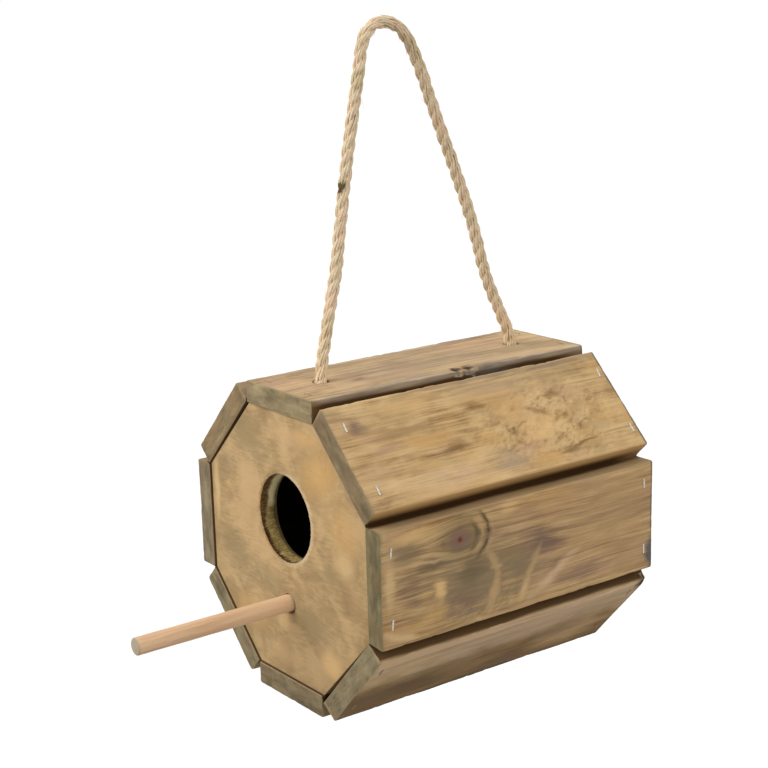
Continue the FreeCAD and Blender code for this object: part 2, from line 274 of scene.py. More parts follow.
class Shade:
    """Lays out the nodes of one material or of the world."""

    def __init__(self, owner):
        owner.use_nodes = True
        self.owner = owner
        self.tree = owner.node_tree
        self.tree.nodes.clear()

    def add(self, kind, inputs, out=0, **settings):
        """One node, its inputs linked to fields or set to values, and the field of one output."""
        node = self.tree.nodes.new(kind)
        for name, value in settings.items():
            setattr(node, name, value)
        for key, value in inputs.items():
            socket = node.inputs[key]
            if isinstance(value, Field):
                self.tree.links.new(value.socket, socket)
            else:
                socket.default_value = (*value[:3], 1) if socket.type == "RGBA" else value
        return Field(self, node.outputs[out]) if node.outputs else None

    def fit(self, vector, place=(0, 0, 0), turn=(0, 0, 0), size=(1, 1, 1)):
        """The vector measured from a place, along turned axes and counted in sizes."""
        inputs = {"Vector": vector, "Location": place, "Rotation": turn, "Scale": size}
        return self.add("ShaderNodeMapping", inputs, vector_type="TEXTURE")

    def place(self, centre=(0, 0, 0), turn=(0, 0, 0)):
        """Object coordinates in millimetres, from a piece's centre and along its own axes."""
        return self.fit(self.add("ShaderNodeTexCoord", {}, out="Object"), centre, turn, (MM, MM, MM))

    def reach(self, place, across, along, wide, long, tilt=0):
        """How far a place is from a mark's middle on a face, counted in the mark's half sizes."""
        through = 1000
        turn = (0, 0, math.radians(tilt))
        return self.fit(place, (across, along, 0), turn, (wide, long, through)).length()

    def split(self, vector):
        """The three numbers of a vector or colour."""
        outputs = self.add("ShaderNodeSeparateXYZ", {0: vector}).socket.node.outputs
        return [Field(self, socket) for socket in outputs]

    def noise(self, vector, scale, detail=3.0, rough=0.55, swirl=0.0):
        inputs = {"Vector": vector, "Scale": scale, "Detail": detail, "Roughness": rough, "Distortion": swirl}
        return self.add("ShaderNodeTexNoise", inputs)

    def tints(self, vector, scale, detail=2.0):
        """Three noises at once, in the channels of one colour."""
        return self.add("ShaderNodeTexNoise", {"Vector": vector, "Scale": scale, "Detail": detail}, out=1)

    def drift(self, vector, scale, reach, detail=2.0):
        """The vector pushed about by soft noise, by up to half of reach each way."""
        return vector + (self.tints(vector, scale, detail) - (0.5, 0.5, 0.5)) * reach

    def ease(self, value, low, high, bottom=0.0, top=1.0):
        """A smooth step from bottom to top as the value goes from low to high."""
        inputs = {"Value": value, "From Min": low, "From Max": high, "To Min": bottom, "To Max": top}
        return self.add("ShaderNodeMapRange", inputs, interpolation_type="SMOOTHSTEP")

    def mix(self, share, a, b, blend="MIX"):
        return self.add("ShaderNodeMix", {0: share, 6: a, 7: b}, out=2, data_type="RGBA", blend_type=blend)

    def wash(self, colour, stain, value, low, high, strength=1.0):
        """A colour with a stain over it, from none where a value is low to its strength where it is high."""
        return self.mix(self.ease(value, low, high, 0, strength), colour, stain)

    def ramp(self, value, *stops):
        """Colours that follow a value, each given with the value it stands at."""
        colour = self.add("ShaderNodeValToRGB", {0: value})
        elements = colour.socket.node.color_ramp.elements
        while len(elements) < len(stops):
            elements.new(0.5)
        for element, (at, shown) in zip(elements, stops):
            element.position = at
            element.color = (*shown, 1)
        return colour

    def spots(self, colour, place, grain, marks):
        """Soft stains laid over a colour, their rims broken up along the grain."""
        near = self.drift(place, 0.12, (4, 6, 0), 3)
        broken = (grain - 0.5) * 1.7
        soft = 1.25
        for across, along, wide, long, tilt, stain, strength in marks:
            reach = self.reach(near, across, along, wide * soft, long * soft, tilt)
            colour = self.wash(colour, stain, reach + broken, 1.1, 0.15, strength)
        return colour

    def bump(self, height, distance, strength):
        inputs = {"Height": height, "Distance": distance, "Strength": strength}
        return self.add("ShaderNodeBump", inputs)

    def surface(self, **inputs):
        """Ends the tree in one principled shader and gives back the material."""
        named = {name.replace("_", " "): value for name, value in inputs.items()}
        shader = self.add("ShaderNodeBsdfPrincipled", named)
        self.add("ShaderNodeOutputMaterial", {0: shader})
        return self.owner

    def seen(self, output, unseen, shown):
        """Ends the tree in a shader that lights the object and another that is seen past it."""
        rays = self.add("ShaderNodeLightPath", {}).socket.node.outputs
        camera, glossy, clear = (
            Field(self, rays[f"Is {kind} Ray"]) for kind in ("Camera", "Glossy", "Transmission")
        )
        share = camera.larger(glossy).larger(clear)
        self.add(output, {0: self.add("ShaderNodeMixShader", {0: share, 1: unseen, 2: shown})})


def new_shade(name):
    return Shade(bpy.data.materials.new(name))


# Stains by name; a few of them are painted shade where they are used, as said there
OLIVE = (0.170, 0.128, 0.066)
MOSS = (0.330, 0.235, 0.115)
DUSK = (0.285, 0.205, 0.116)
SMUDGE = (0.245, 0.136, 0.052)
UMBER_WASH = (0.410, 0.260, 0.120)
MAUVE = (0.240, 0.152, 0.104)
DRIFTWOOD = (0.465, 0.345, 0.228)
CREAM = (0.740, 0.510, 0.255)
HONEY = (0.600, 0.390, 0.190)
GOLD = (0.790, 0.510, 0.225)
AMBER = (0.640, 0.380, 0.145)
ROSE = (0.530, 0.325, 0.190)
PINK_GREY = (0.600, 0.435, 0.310)
BLUSH = (0.760, 0.530, 0.330)
RUSSET = (0.520, 0.325, 0.165)
SHADE_BLACK = (0.040, 0.030, 0.022)
KNOT_DISC = (0.235, 0.142, 0.108)
KNOT_HEART = (0.20, 0.030, 0.032)
NEAR_BLACK = (0.058, 0.026, 0.007)
WARM_GAP_SHADE = (0.102, 0.052, 0.019)
LOAM = (0.105, 0.068, 0.036)
DARKENING_TINT = (0.385, 0.335, 0.285)
SLATE = (0.135, 0.128, 0.118)
TAUPE = (0.300, 0.220, 0.145)
WORN = (0.950, 0.690, 0.440)

# What a board is like where its own row says nothing. Across and along are millimetres from its middle.
# pale, gain: how light the grain is and how strongly it shows; layers: lines, streaks, bands and clouds in it
# ribs: strength of the dark lines; hues: shares of blush, moss and amber; blush: the stain of the first
# spots, pits: across, along, half width, half length, turn, stain, strength; pits reach over the edges too
# knots: across, along, radius; arcs: the side of a knot that grain is thrown up on
# curl: where the grain runs wild, as across, along, half width and half length
# shade: from where to where across the board darkens, and how much; grey: silvering of its long edges
# edge: the side faces' stain and its strength; soot: from where to where outwards they go dark, as painted
# shade in the gaps between boards
# gap: the colour of that painted shade; fade: how much of it is left at the rear; tail: strength of the dark
# rear end
# end: colour of the sawn ends
# flare, spread: how much wider the outer and the inner face are at the two long edges, in millimetres
# roll: turn about an inner edge where a board isn't stapled down tight, in degrees
# hollows: knocked out of its edges, as middle, reach each way and depth
# bright, staples_back: whether its staples were left bright by the stain, and how far back they sit
PLAIN_BOARD = dict(
    pale=0.55, gain=1.6, layers=(0.22, 0.24, 0.27, 0.27), ribs=0.4, hues=(0.4, 0.4, 0.4), blush=ROSE,
    spots=(), pits=(), knots=(), arcs=1, curl=None, shade=None, grey=0, edge=(DUSK, 0.6), soot=(-0.5, -4.5),
    gap=NEAR_BLACK, fade=0.55, tail=0.7, flare=(0, 0), spread=(0, 0), roll=0, hollows=(),
    bright=False, staples_back=0,
)

# The boards, clockwise seen from the entrance, from the one that faces straight up
BOARDS = {
    "top": dict(
        pale=0.56, gain=3.6, grey=0.85, tail=0.25, hues=(0.5, 0.5, 0.25), edge=(TAUPE, 0.6), soot=(4.8, 2.4),
        end=(0.302, 0.236, 0.133),
        hollows=[((31.5, 4, 6), (5.5, 5, 5), 1.7), ((31, 13, 6), (6.5, 6, 5.5), 2.2)],
        spots=[
            (0, 0, 60, 160, 0, DRIFTWOOD, 0.6), (-10, -86, 14, 12, 0, ROSE, 0.5),
            (11, -58, 10, 22, 4, BLUSH, 0.35), (-14, 50, 10, 26, -3, ROSE, 0.55),
            (5, -8, 9, 26, 2, DUSK, 0.35), (6, 40, 9, 22, 0, MOSS, 0.35), (-26, -30, 6, 40, 0, MOSS, 0.45),
            (26, 62, 6, 24, 0, BLUSH, 0.35), (29, -50, 3, 36, 2, DUSK, 0.45),
            (10, -50, 3.0, 6, 0, SMUDGE, 0.6),
        ],
        pits=[
            # The two near-black pits are painted shade inside the hollows knocked out of the right edge
            (28.5, 3.5, 4.0, 3.4, 0, SHADE_BLACK, 1.0), (28, 12.5, 4.4, 4.4, 0, SHADE_BLACK, 1.0),
            (30.5, 31, 2.8, 18, 0, SLATE, 0.75), (33, -99, 5, 6, 0, SMUDGE, 0.55),
        ],
    ),
    "upper_right": dict(
        pale=0.66, gain=2.45, hues=(0.35, 0.4, 0.45), curl=(4, 38, 34, 62), flare=(2.1, 0), edge=(AMBER, 0.7),
        soot=(4.0, -4.5), end=(0.234, 0.174, 0.099), bright=True, staples_back=2.3,
        spots=[
            (-27, 12, 7, 34, 0, DRIFTWOOD, 0.45), (-26, -49, 5, 24, 0, GOLD, 0.55),
            (24, -44, 9, 32, 0, BLUSH, 0.4), (-10, -57, 4, 26, 0, UMBER_WASH, 0.75),
            (-2, -42, 5, 20, 2, AMBER, 0.60), (21, 0, 7, 15, 0, DRIFTWOOD, 0.65),
            (6, 32, 10, 15, 0, GOLD, 0.70), (5, -4, 6, 10, 0, AMBER, 0.55), (27, 26, 5, 14, 0, AMBER, 0.6),
            (-16.5, -6, 2.8, 9, -4, SMUDGE, 0.9), (6.2, -27, 2.3, 11, 2, SMUDGE, 0.9),
            (-2, -73, 2.0, 8, 3, ROSE, 0.7), (-13, 52, 3.0, 6, 15, SMUDGE, 0.65),
            (21.5, 55, 1.2, 14, 12, SMUDGE, 0.85), (24, 44, 2.6, 7, -6, SMUDGE, 0.6),
            (16.5, 20, 2.2, 13, 4, ROSE, 0.6), (-1, 63, 5, 9, 20, UMBER_WASH, 0.5),
            (-4, 36, 1.8, 8, -30, SMUDGE, 0.5), (-22, 93, 7, 5, 0, AMBER, 0.7),
            (8, 96, 14, 3, 0, AMBER, 0.6), (-19.5, -84, 5, 6, 0, MAUVE, 0.9),
            (14, -80, 3, 14, 0, UMBER_WASH, 0.5), (-33, 40, 3.4, 80, 0, TAUPE, 0.8),
        ],
    ),
    "right": dict(
        pale=0.56, gain=1.7, ribs=0.6, hues=(0.5, 0.3, 0.4), layers=(0.32, 0.36, 0.20, 0.12), flare=(0, 1.2),
        curl=(15, -30, 22, 46), knots=[(-17.2, -46, 6.6)], end=(0.191, 0.155, 0.083), bright=True,
        spots=[
            (-8, 56, 40, 56, 0, RUSSET, 0.5), (7, -36, 25, 38, 0, DUSK, 0.95),
            (-17, -82, 8, 12, 0, DUSK, 0.85), (4, -80, 11, 9, 0, MAUVE, 0.65),
            (-8, -64, 4, 12, 0, OLIVE, 0.75), (2, -37, 8, 11, 0, OLIVE, 0.65),
            (21, -44, 8, 14, 0, MAUVE, 0.6), (-3, 13, 10, 17, -20, MAUVE, 1.0),
            (9, 0, 12, 14, 0, DUSK, 0.8), (23, 48, 7, 40, 0, ROSE, 0.6), (22, 44, 5, 24, 4, MAUVE, 0.6),
            (14, 22, 4, 9, 30, MAUVE, 0.5), (7.5, -59.5, 6.0, 4.2, 0, GOLD, 1.0),
            (20, -63, 7, 9, 0, AMBER, 0.55), (-2.5, -93, 15, 3.4, 0, CREAM, 0.85),
            (-26, -78, 4, 14, 3, GOLD, 0.75), (-29, -11, 4.5, 8, 0, GOLD, 0.8),
            (-30, 14, 3, 18, 0, AMBER, 0.55), (1, -22.5, 10, 3.0, 27, HONEY, 0.65),
            (17, -22, 13, 3.2, -17, HONEY, 0.8), (14, 3, 17, 2.6, -31, HONEY, 0.75),
            (23, -1, 7, 2.6, -31, CREAM, 0.6), (19, 20, 3.0, 23, 30, BLUSH, 0.6),
            (28, -87, 2.4, 14, -16, CREAM, 0.8), (-9, -66, 1.1, 24, -3, BLUSH, 0.5),
            (-17, -57, 2.2, 3.0, 0, SMUDGE, 0.6), (-31, -60, 2.0, 20, 0, SMUDGE, 0.5),
        ],
        pits=[(23, 97.5, 13, 3.4, 0, SLATE, 0.95)],
    ),
    "lower_right": dict(
        pale=0.84, gain=2.3, hues=(0.6, 0.2, 0.2), flare=(1.5, 1.2), spread=(0, 2.6), roll=2.5,
        # Its upper side face is painted warm dark brown as the shade under the right board's overhang
        soot=(7.2, 5.0), gap=WARM_GAP_SHADE, fade=1.0, shade=(-18, 12, 1.0), end=(0.226, 0.184, 0.107),
        hollows=[((-32.5, 99, 5), (5, 5, 6), 2.0)],
        spots=[
            (-16, 0, 18, 150, 0, PINK_GREY, 0.6), (-20, 66, 12, 40, 0, DRIFTWOOD, 0.5),
            (-28.5, 0, 5.5, 130, 0, BLUSH, 0.95), (-24, -20, 2.0, 60, 1, UMBER_WASH, 0.6),
            (-13, 34, 2.4, 60, -1, ROSE, 0.6), (-30.5, 60, 3.0, 44, 0, WORN, 0.9),
        ],
        pits=[
            # The near-black pits are painted shade: a line along the lower edge, and the hollow at the rear
            # upper corner
            (15, -62, 17, 46, 0, LOAM, 0.55), (33, 0, 4.4, 150, 0, SHADE_BLACK, 0.75),
            (12, 66, 15, 30, 0, HONEY, 0.8), (-30.5, 97, 7, 5.0, 0, SHADE_BLACK, 1.0),
            (22, 14, 6, 18, 0, OLIVE, 0.55), (-14, -62, 5, 26, 2, HONEY, 0.4),
            (26, -66, 6, 26, 0, SMUDGE, 0.3), (9, -26, 5, 20, 0, UMBER_WASH, 0.35),
            (16, -8, 6, 20, 4, UMBER_WASH, 0.3), (2, 12, 4, 30, 0, SMUDGE, 0.4),
            (6, 52, 5, 24, -3, MAUVE, 0.5), (28, 46, 4, 24, 0, SMUDGE, 0.5),
        ],
    ),
    "bottom": dict(
        knots=[(9, 31, 5.0)], end=(0.204, 0.156, 0.089),
        spots=[
            (-14, -50, 6, 30, 0, DUSK, 0.6), (20, 60, 7, 22, 0, AMBER, 0.5), (-4, 4, 4, 20, 2, SMUDGE, 0.5),
        ],
    ),
    "lower_left": dict(
        curl=(-6, 10, 24, 36), end=(0.235, 0.190, 0.110),
        spots=[
            (10, 20, 5, 34, 2, DUSK, 0.6), (-18, -40, 6, 24, 0, HONEY, 0.5),
            (-4, 76, 4, 12, 0, SMUDGE, 0.6),
        ],
    ),
    "left": dict(
        hues=(0.5, 0.5, 0.3), blush=MAUVE, knots=[(12, 38, 5.6)], arcs=-1, end=(0.243, 0.195, 0.121),
        bright=True,
        spots=[
            (-6, 20, 20, 36, 0, DUSK, 0.6), (-16, -30, 5, 32, -3, UMBER_WASH, 0.7),
            (4, -70, 8, 16, 0, GOLD, 0.5), (-10, 70, 7, 20, 0, MAUVE, 0.5), (-22, 10, 4, 30, 0, HONEY, 0.5),
            (2, 8, 14, 3, 24, HONEY, 0.6),
        ],
    ),
    "upper_left": dict(
        pale=0.59, hues=(0.35, 0.4, 0.45), edge=(DRIFTWOOD, 0.6), spread=(0, 0.9), roll=1.0,
        curl=(8, -40, 28, 44), soot=(-4.0, -6.4), end=(0.276, 0.205, 0.112),
        spots=[
            (-12, 20, 2.4, 20, 2, SMUDGE, 0.7), (14, -44, 8, 20, 0, GOLD, 0.55),
            (20, 58, 5, 18, 0, CREAM, 0.5), (26, 0, 6, 30, 0, DRIFTWOOD, 0.6),
            (-24, -30, 5, 26, 0, AMBER, 0.5), (4, 70, 3, 9, 10, SMUDGE, 0.6),
        ],
    ),
}


def board_look(order, part):
    """A board's row with what it leaves out filled in, its seed, and its turn from straight up."""
    row = {**PLAIN_BOARD, **BOARDS[part]}
    return SimpleNamespace(**row, part=part, seed=order + 1, turn=order * 360 // len(BOARDS))


LOOKS = [board_look(order, part) for order, part in enumerate(BOARDS)]

# Rings beside a knot: how many knot radii out, half thickness, stain and strength
KNOT_ARCS = (
    (1.48, 0.36, OLIVE, 1.0), (1.94, 0.20, HONEY, 0.65), (2.42, 0.30, LOAM, 0.9), (2.85, 0.16, HONEY, 0.35),
)

# A panel's own axes, and its spots in them: across is down, along is to the right, outwards is to the front
PANEL_AXES = Matrix(((0, 1, 0), (0, 0, -1), (-1, 0, 0)))
FRONT_SPOTS = [
    (-58, -36, 14, 26, 0, MOSS, 0.75), (-50, 36, 14, 20, 20, AMBER, 0.70),
    (-24, 57, 16, 14, 20, AMBER, 0.55), (-4, 57, 8, 9, 0, CREAM, 0.55), (4, 41, 5, 11, 15, MOSS, 0.70),
    (16, -52, 17, 20, 0, MOSS, 0.80), (22, -20, 9, 24, 0, MOSS, 0.60), (40, 26, 13, 20, 0, MOSS, 0.75),
    (58, 42, 9, 12, 0, GOLD, 0.75), (-18, -73, 20, 3, 0, CREAM, 0.60), (-24, -38, 18, 8, 0, HONEY, 0.60),
    (66, -9, 8, 18, 0, HONEY, 0.60), (50, -40, 10, 20, 0, AMBER, 0.45), (-66, 6, 6, 20, 0, HONEY, 0.60),
    (14, 66, 12, 10, 0, UMBER_WASH, 0.60), (-38, -60, 10, 9, 30, DUSK, 0.45),
    (30, 2, 6, 26, -8, DUSK, 0.35), (-68, 26, 5, 12, 0, AMBER, 0.55),
]
BACK_SPOTS = [
    (-30, -30, 16, 30, 0, MOSS, 0.60), (20, 36, 18, 26, 0, AMBER, 0.50), (40, -40, 12, 24, 0, MOSS, 0.60),
    (-50, 34, 12, 20, 0, HONEY, 0.45), (4, -4, 10, 34, 3, UMBER_WASH, 0.45),
    (60, 10, 8, 26, 0, CREAM, 0.40),
]


# Board finishes

def widened(look):
    """A board's two long edges: the side across, and how much wider its outer and inner face are there."""
    return zip((-1, 1), look.flare, look.spread)


def grain_flow(s, place, look):
    """A board's own place apart from every other's, and the same drawn along its wandering grain."""
    shifted = place + (137 * look.seed, 291 * look.seed, 53 * look.seed)
    flow = s.drift(shifted * (1, 0.35, 1), 0.02, (9, 0, 6))
    for across, along, radius in look.knots:
        pull = s.ease(s.reach(place, across, along, radius * 2.4, radius * 4.2), 1.0, 0.1, 0, -0.75)
        flow += (place - (across, along, 0)) * (1, 0, 0) * pull
    return shifted, flow


def curl_tone(s, tone, place, shifted, curl):
    """The tone with blots and strokes for straight grain over a region, and how straight it stays."""
    zone = s.ease(s.reach(place, *curl), 1.1, 0.35, 0, 0.8)
    blots = s.noise(shifted * (1, 0.7, 1), 0.13, 3, 0.5, 0.6)
    slanted = s.fit(s.drift(shifted, 0.1, (6, 6, 0)), turn=(0, 0, math.radians(32)), size=(1, 2.6, 1))
    wild = blots * 0.55 + s.noise(slanted, 0.5, 2, 0.5, 0.4) * 0.45
    return tone + (wild - tone) * zone, s.ease(zone, 0.1, 0.6, 1, 0)


def knot_stain(s, colour, place, streak, knot, throw):
    """A knot's dusky disc and red heart, with arcs of thrown grain on one side of it."""
    across, along, radius = knot
    near = s.drift(place, 0.2, (3, 3, 0), 3)
    reach = s.reach(near, across, along, radius, radius * 1.25, 8)
    colour = s.wash(colour, OLIVE, reach, 2.6, 0.9, 0.45)
    away = (near - (across, along, 0)) * (1, throw, 0)
    heading = s.add("ShaderNodeVectorMath", {0: away}, operation="NORMALIZE")
    broken = s.ease(s.split(heading)[1], 0.55, 0.95) * s.ease(streak, 0.36, 0.5, 0.45, 1.0)
    for at, thick, stain, strength in KNOT_ARCS:
        colour = s.mix(s.ease(abs(reach - at), thick, 0, 0, strength) * broken, colour, stain)
    colour = s.wash(colour, KNOT_DISC, reach + streak * 0.5, 1.6, 0.7, 0.72)
    return s.wash(colour, KNOT_HEART, reach, 0.36, 0.05, 0.9)


def stain_edges(s, colour, place, look, streak, band, cloud, weathered):
    """The board's colour with worn and silvered arrises, dark ends, a darker half and side faces painted dark
    as shade.
    """
    across, along, out = s.split(place)
    half, rear = HALF_BOARD.x, HALF_BOARD.y
    outward = out * (MM / BOARD_SIZE.z) + 0.5
    low, high = (
        across * sign - (outward * (outer - inner) + inner) for sign, outer, inner in widened(look)
    )
    sideways = low.larger(high)
    ragged = sideways + (band - 0.5) * 7.0
    colour = s.wash(colour, HONEY, ragged, half - 2.4, half - 0.6, 0.35)
    if look.grey:
        silver = s.ramp(streak, (0.34, (0.19, 0.15, 0.105)), (0.48, weathered), (0.62, (0.66, 0.56, 0.43)))
        colour = s.wash(colour, silver, ragged, half - 3.0, half - 0.8, look.grey)
    if look.shade:
        first, full, strength = look.shade
        shaded = s.ease(across + (cloud - 0.5) * 30.0, first, full, 0, strength)
        colour = s.mix(shaded, colour, DARKENING_TINT, "MULTIPLY")
    colour = s.wash(colour, DUSK, abs(along) + (cloud - 0.5) * 5.0, rear - 2.2, rear + 0.4, 0.6)
    colour = s.wash(colour, SLATE, along + (cloud - 0.5) * 3.0, rear - 2.2, rear - 0.8, look.tail)
    side = s.ease(sideways, half - 1.0, half - 0.4)
    edge, strength = look.edge
    colour = s.mix(side * strength, colour, edge)
    # Painted shade: the side faces darken towards the inner face, where the gaps between the boards lie in
    # shade, and less so at the rear
    gap_shaded = s.ease(out + (band - 0.5) * 5.0, *look.soot, 0.0, 0.95)
    left = s.ease(along, rear - 24, rear, 1.0, look.fade)
    return s.mix(side * (gap_shaded * left), colour, look.gap)


def stain_board(look, centre, turn, props):
    """Brushed, stained softwood: fine lines, streaks, bands, clouds, pores and knots along the board."""
    s = new_shade(f"stained_{look.part}_board")
    place = s.place(centre, turn)
    shifted, flow = grain_flow(s, place, look)
    lines = s.noise(flow * (1, 0.06, 1), 1.25, 2, 0.5)
    streak = s.noise(flow * (1, 0.24, 1), 0.30, 3, 0.6)
    band = s.noise(flow * (1, 0.40, 1), 0.085, 3, 0.5)
    cloud = s.noise(shifted * (1, 0.7, 1), 0.06, 4, 0.6)
    ribs = s.noise(flow * (1, 0.045, 1), 0.50, 3, 0.6)
    pores = s.noise(flow * (1, 0.22, 1), 1.7, 2, 0.5)
    tone = sum(layer * share for layer, share in zip((lines, streak, band, cloud), look.layers))
    dark_ribs = s.ease(ribs, 0.54, 0.70, 0, look.ribs)
    pale_ribs = s.ease(ribs, 0.45, 0.32, 0, 0.35)
    if look.curl:
        tone, straight = curl_tone(s, tone, place, shifted, look.curl)
        dark_ribs *= straight
        pale_ribs *= straight
    colour = s.ramp(
        (tone - 0.5) * look.gain + look.pale,
        (0.12, props.umber), (0.34, props.brown), (0.52, props.tan), (0.68, props.golden), (0.86, CREAM),
    )
    colour = s.wash(colour, props.umber, pores, 0.60, 0.76, 0.30)
    hues = s.split(s.tints(shifted * (1, 0.5, 1), 0.055, 4))
    for hue, stain, strength in zip(hues, (look.blush, MOSS, AMBER), look.hues):
        colour = s.wash(colour, stain, hue, 0.50, 0.66, strength)
    colour = s.spots(colour, place, streak, look.spots)
    colour = s.mix(dark_ribs, colour, props.brown)
    colour = s.mix(pale_ribs, colour, GOLD)
    for knot in look.knots:
        colour = knot_stain(s, colour, place, streak, knot, look.arcs)
    colour = stain_edges(s, colour, place, look, streak, band, cloud, props.weathered)
    return s.surface(
        Base_Color=s.spots(colour, place, streak, look.pits),
        Roughness=s.ease(lines, 0.3, 0.7, 0.85, 0.66),
        Specular_IOR_Level=0.07,
        Normal=s.bump(lines * 0.6 + streak * 0.5 - pores * 0.25, 0.5 * MM, 0.5),
    )


def end_grain(look, centre, turn):
    """Sawn end of a board: olive-brown, faintly ringed and saw-marked, paler where its rim is worn."""
    s = new_shade(f"sawn_end_{look.part}_board")
    place = s.place(centre, turn)
    shifted = place + (look.seed * 71.0, 0, look.seed * 33.0)
    cloud = s.noise(shifted * (0.6, 1, 1.2), 0.11, 4)
    hue = s.noise(shifted, 0.07, 2)
    speck = s.noise(shifted, 1.4, 3, 0.6)
    saw = s.noise(shifted * (0.12, 1, 1), 0.8, 3)
    ring = s.noise(s.drift(shifted, 0.05, (8, 0, 8)) * (0.25, 1, 1), 0.45, 2)
    tint = Vector(look.end)
    deep = tint * Vector((0.42, 0.40, 0.36))
    warm = tint * Vector((1.15, 1.0, 0.9))
    worn = tint * 1.75
    colour = s.ramp(cloud, (0.34, tint * 0.67), (0.5, tint), (0.66, tint * 1.36))
    colour = s.wash(colour, warm, hue, 0.48, 0.66, 0.5)
    colour = s.wash(colour, deep, ring, 0.52, 0.70, 0.30)
    colour = s.wash(colour, deep, speck, 0.55, 0.75, 0.32)
    colour = s.wash(colour, worn, saw, 0.52, 0.72, 0.28)
    across, _, out = s.split(place)
    to_rim = (HALF_BOARD.x - abs(across)).smaller(HALF_BOARD.z - abs(out))
    colour = s.wash(colour, worn, to_rim + cloud * 2.0, 1.9, 0.9, 0.40)
    relief = s.bump(speck * 0.5 + saw * 0.5, 0.5 * MM, 0.5)
    return s.surface(Base_Color=colour, Roughness=0.9, Specular_IOR_Level=0.05, Normal=relief)


def inside_wood(name):
    """Bare wood inside the barrel, painted near black as the shade that fills it, brown beside the front
    panel.
    """
    s = new_shade(name)
    place = s.place()
    grain = s.noise(place * (1, 0.05, 1), 0.4, 4)
    colour = s.ramp(grain, (0.3, (0.030, 0.022, 0.014)), (0.7, (0.075, 0.052, 0.031)))
    front = PANEL_LOW.y / MM
    colour = s.wash(colour, LOAM, s.split(place)[1], front + 4.0, front + 2.0, 0.8)
    relief = s.bump(grain, 0.4 * MM, 0.4)
    return s.surface(Base_Color=colour, Roughness=0.9, Specular_IOR_Level=0.15, Normal=relief)


# Mesh work

def cut_loops(bm, axis, cuts, longer_than):
    """Divides the edges that run along one axis into equal parts."""
    runs = []
    for edge in bm.edges:
        span = edge.verts[1].co - edge.verts[0].co
        if span.length > longer_than and abs(span.normalized()[axis]) > 0.999:
            runs.append(edge)
    bmesh.ops.subdivide_edges(bm, edges=runs, cuts=cuts, use_grid_fill=True)


def round_edges(bm, edges, offset, segments=2):
    bmesh.ops.bevel(
        bm, geom=edges, offset=offset, segments=segments, profile=0.5, affect="EDGES", material=-1
    )


def add_box(bm, size):
    """A box about the origin."""
    verts = bmesh.ops.create_cube(bm, size=1)["verts"]
    bmesh.ops.scale(bm, vec=size, verts=verts)
    return verts


def add_rod(bm, sides, radius, depth, tip=None):
    """A round bar along Z about the origin, tapered where it has a tip radius."""
    return bmesh.ops.create_cone(
        bm, cap_ends=True, segments=sides, radius1=radius, radius2=radius if tip is None else tip, depth=depth
    )["verts"]


def lay_back(bm, centre):
    """Turns what stands along Z to lie along Y with its top to the front, and moves it to its place."""
    bmesh.ops.rotate(bm, matrix=Matrix.Rotation(math.pi / 2, 3, "X"), verts=bm.verts)
    bmesh.ops.translate(bm, vec=centre, verts=bm.verts)


def mesh_from(bm, name):
    mesh = bpy.data.meshes.new(name)
    bm.to_mesh(mesh)
    bm.free()
    return mesh


def cut_away(mesh, tool_mesh):
    """A mesh with the tool's volume taken out of it."""
    scene = bpy.context.scene
    blank = bpy.data.objects.new("blank", mesh)
    tool = bpy.data.objects.new("tool", tool_mesh)
    scene.collection.objects.link(blank)
    scene.collection.objects.link(tool)
    cut = blank.modifiers.new("cut", "BOOLEAN")
    cut.operation = "DIFFERENCE"
    cut.solver = "EXACT"
    cut.object = tool
    graph = bpy.context.evaluated_depsgraph_get()
    result = bpy.data.meshes.new_from_object(blank.evaluated_get(graph))
    result.materials.clear()
    for used in (blank, tool):
        spare = used.data
        bpy.data.objects.remove(used)
        bpy.data.meshes.remove(spare)
    return result


def set_piece(name, mesh, body, node, smooth=40):
    """Links a finished mesh as a piece that rides on a body, if one is given, and stands for a CAD node."""
    mesh.name = name
    mesh.shade_smooth()
    mesh.set_sharp_from_angle(angle=math.radians(smooth))
    piece = bpy.data.objects.new(name, mesh)
    bpy.context.scene.collection.objects.link(piece)
    if body:
        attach(piece, body)
    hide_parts(node)
    return piece


def shared(name, make, *values):
    """The material of that name, made the first time it is asked for."""
    return bpy.data.materials.get(name) or make(name, *values)


# Boards

def plank_blank(arris):
    """A board in its own axes, across, along and outwards, with rounded long edges and crisp ends."""
    bm = bmesh.new()
    add_box(bm, BOARD_SIZE)
    long_edges = [e for e in bm.edges if abs(e.verts[0].co.y - e.verts[1].co.y) > BOARD_SIZE.y / 2]
    round_edges(bm, [e for e in long_edges if e.verts[0].co.z > 0], arris, 4)
    rims = [e for e in bm.edges if abs(e.verts[0].co.y + e.verts[1].co.y) > BOARD_SIZE.y - 1e-6]
    round_edges(bm, rims, END_ARRIS)
    for axis, cuts in BOARD_CUTS:
        cut_loops(bm, axis, cuts, BOARD_SIZE[axis] / 2)
    return bm


def hollow_push(point, sign, seed, hollows):
    """How far the hollows draw in a point of a board, given in millimetres."""
    push = Vector((0, 0, 0))
    x, y, z = point
    for centre, reach, depth in hollows:
        away = Vector((at - middle) / size for at, middle, size in zip(point, centre, reach)).length
        rough = 1 + 0.5 * noise.noise((x * 0.5, y * 0.35, z * 0.5 + seed))
        if away < rough:
            push -= Vector((sign.x * 0.8, 0, sign.z * 0.6)) * depth * MM * (1 - away / rough) ** 0.6
    return push


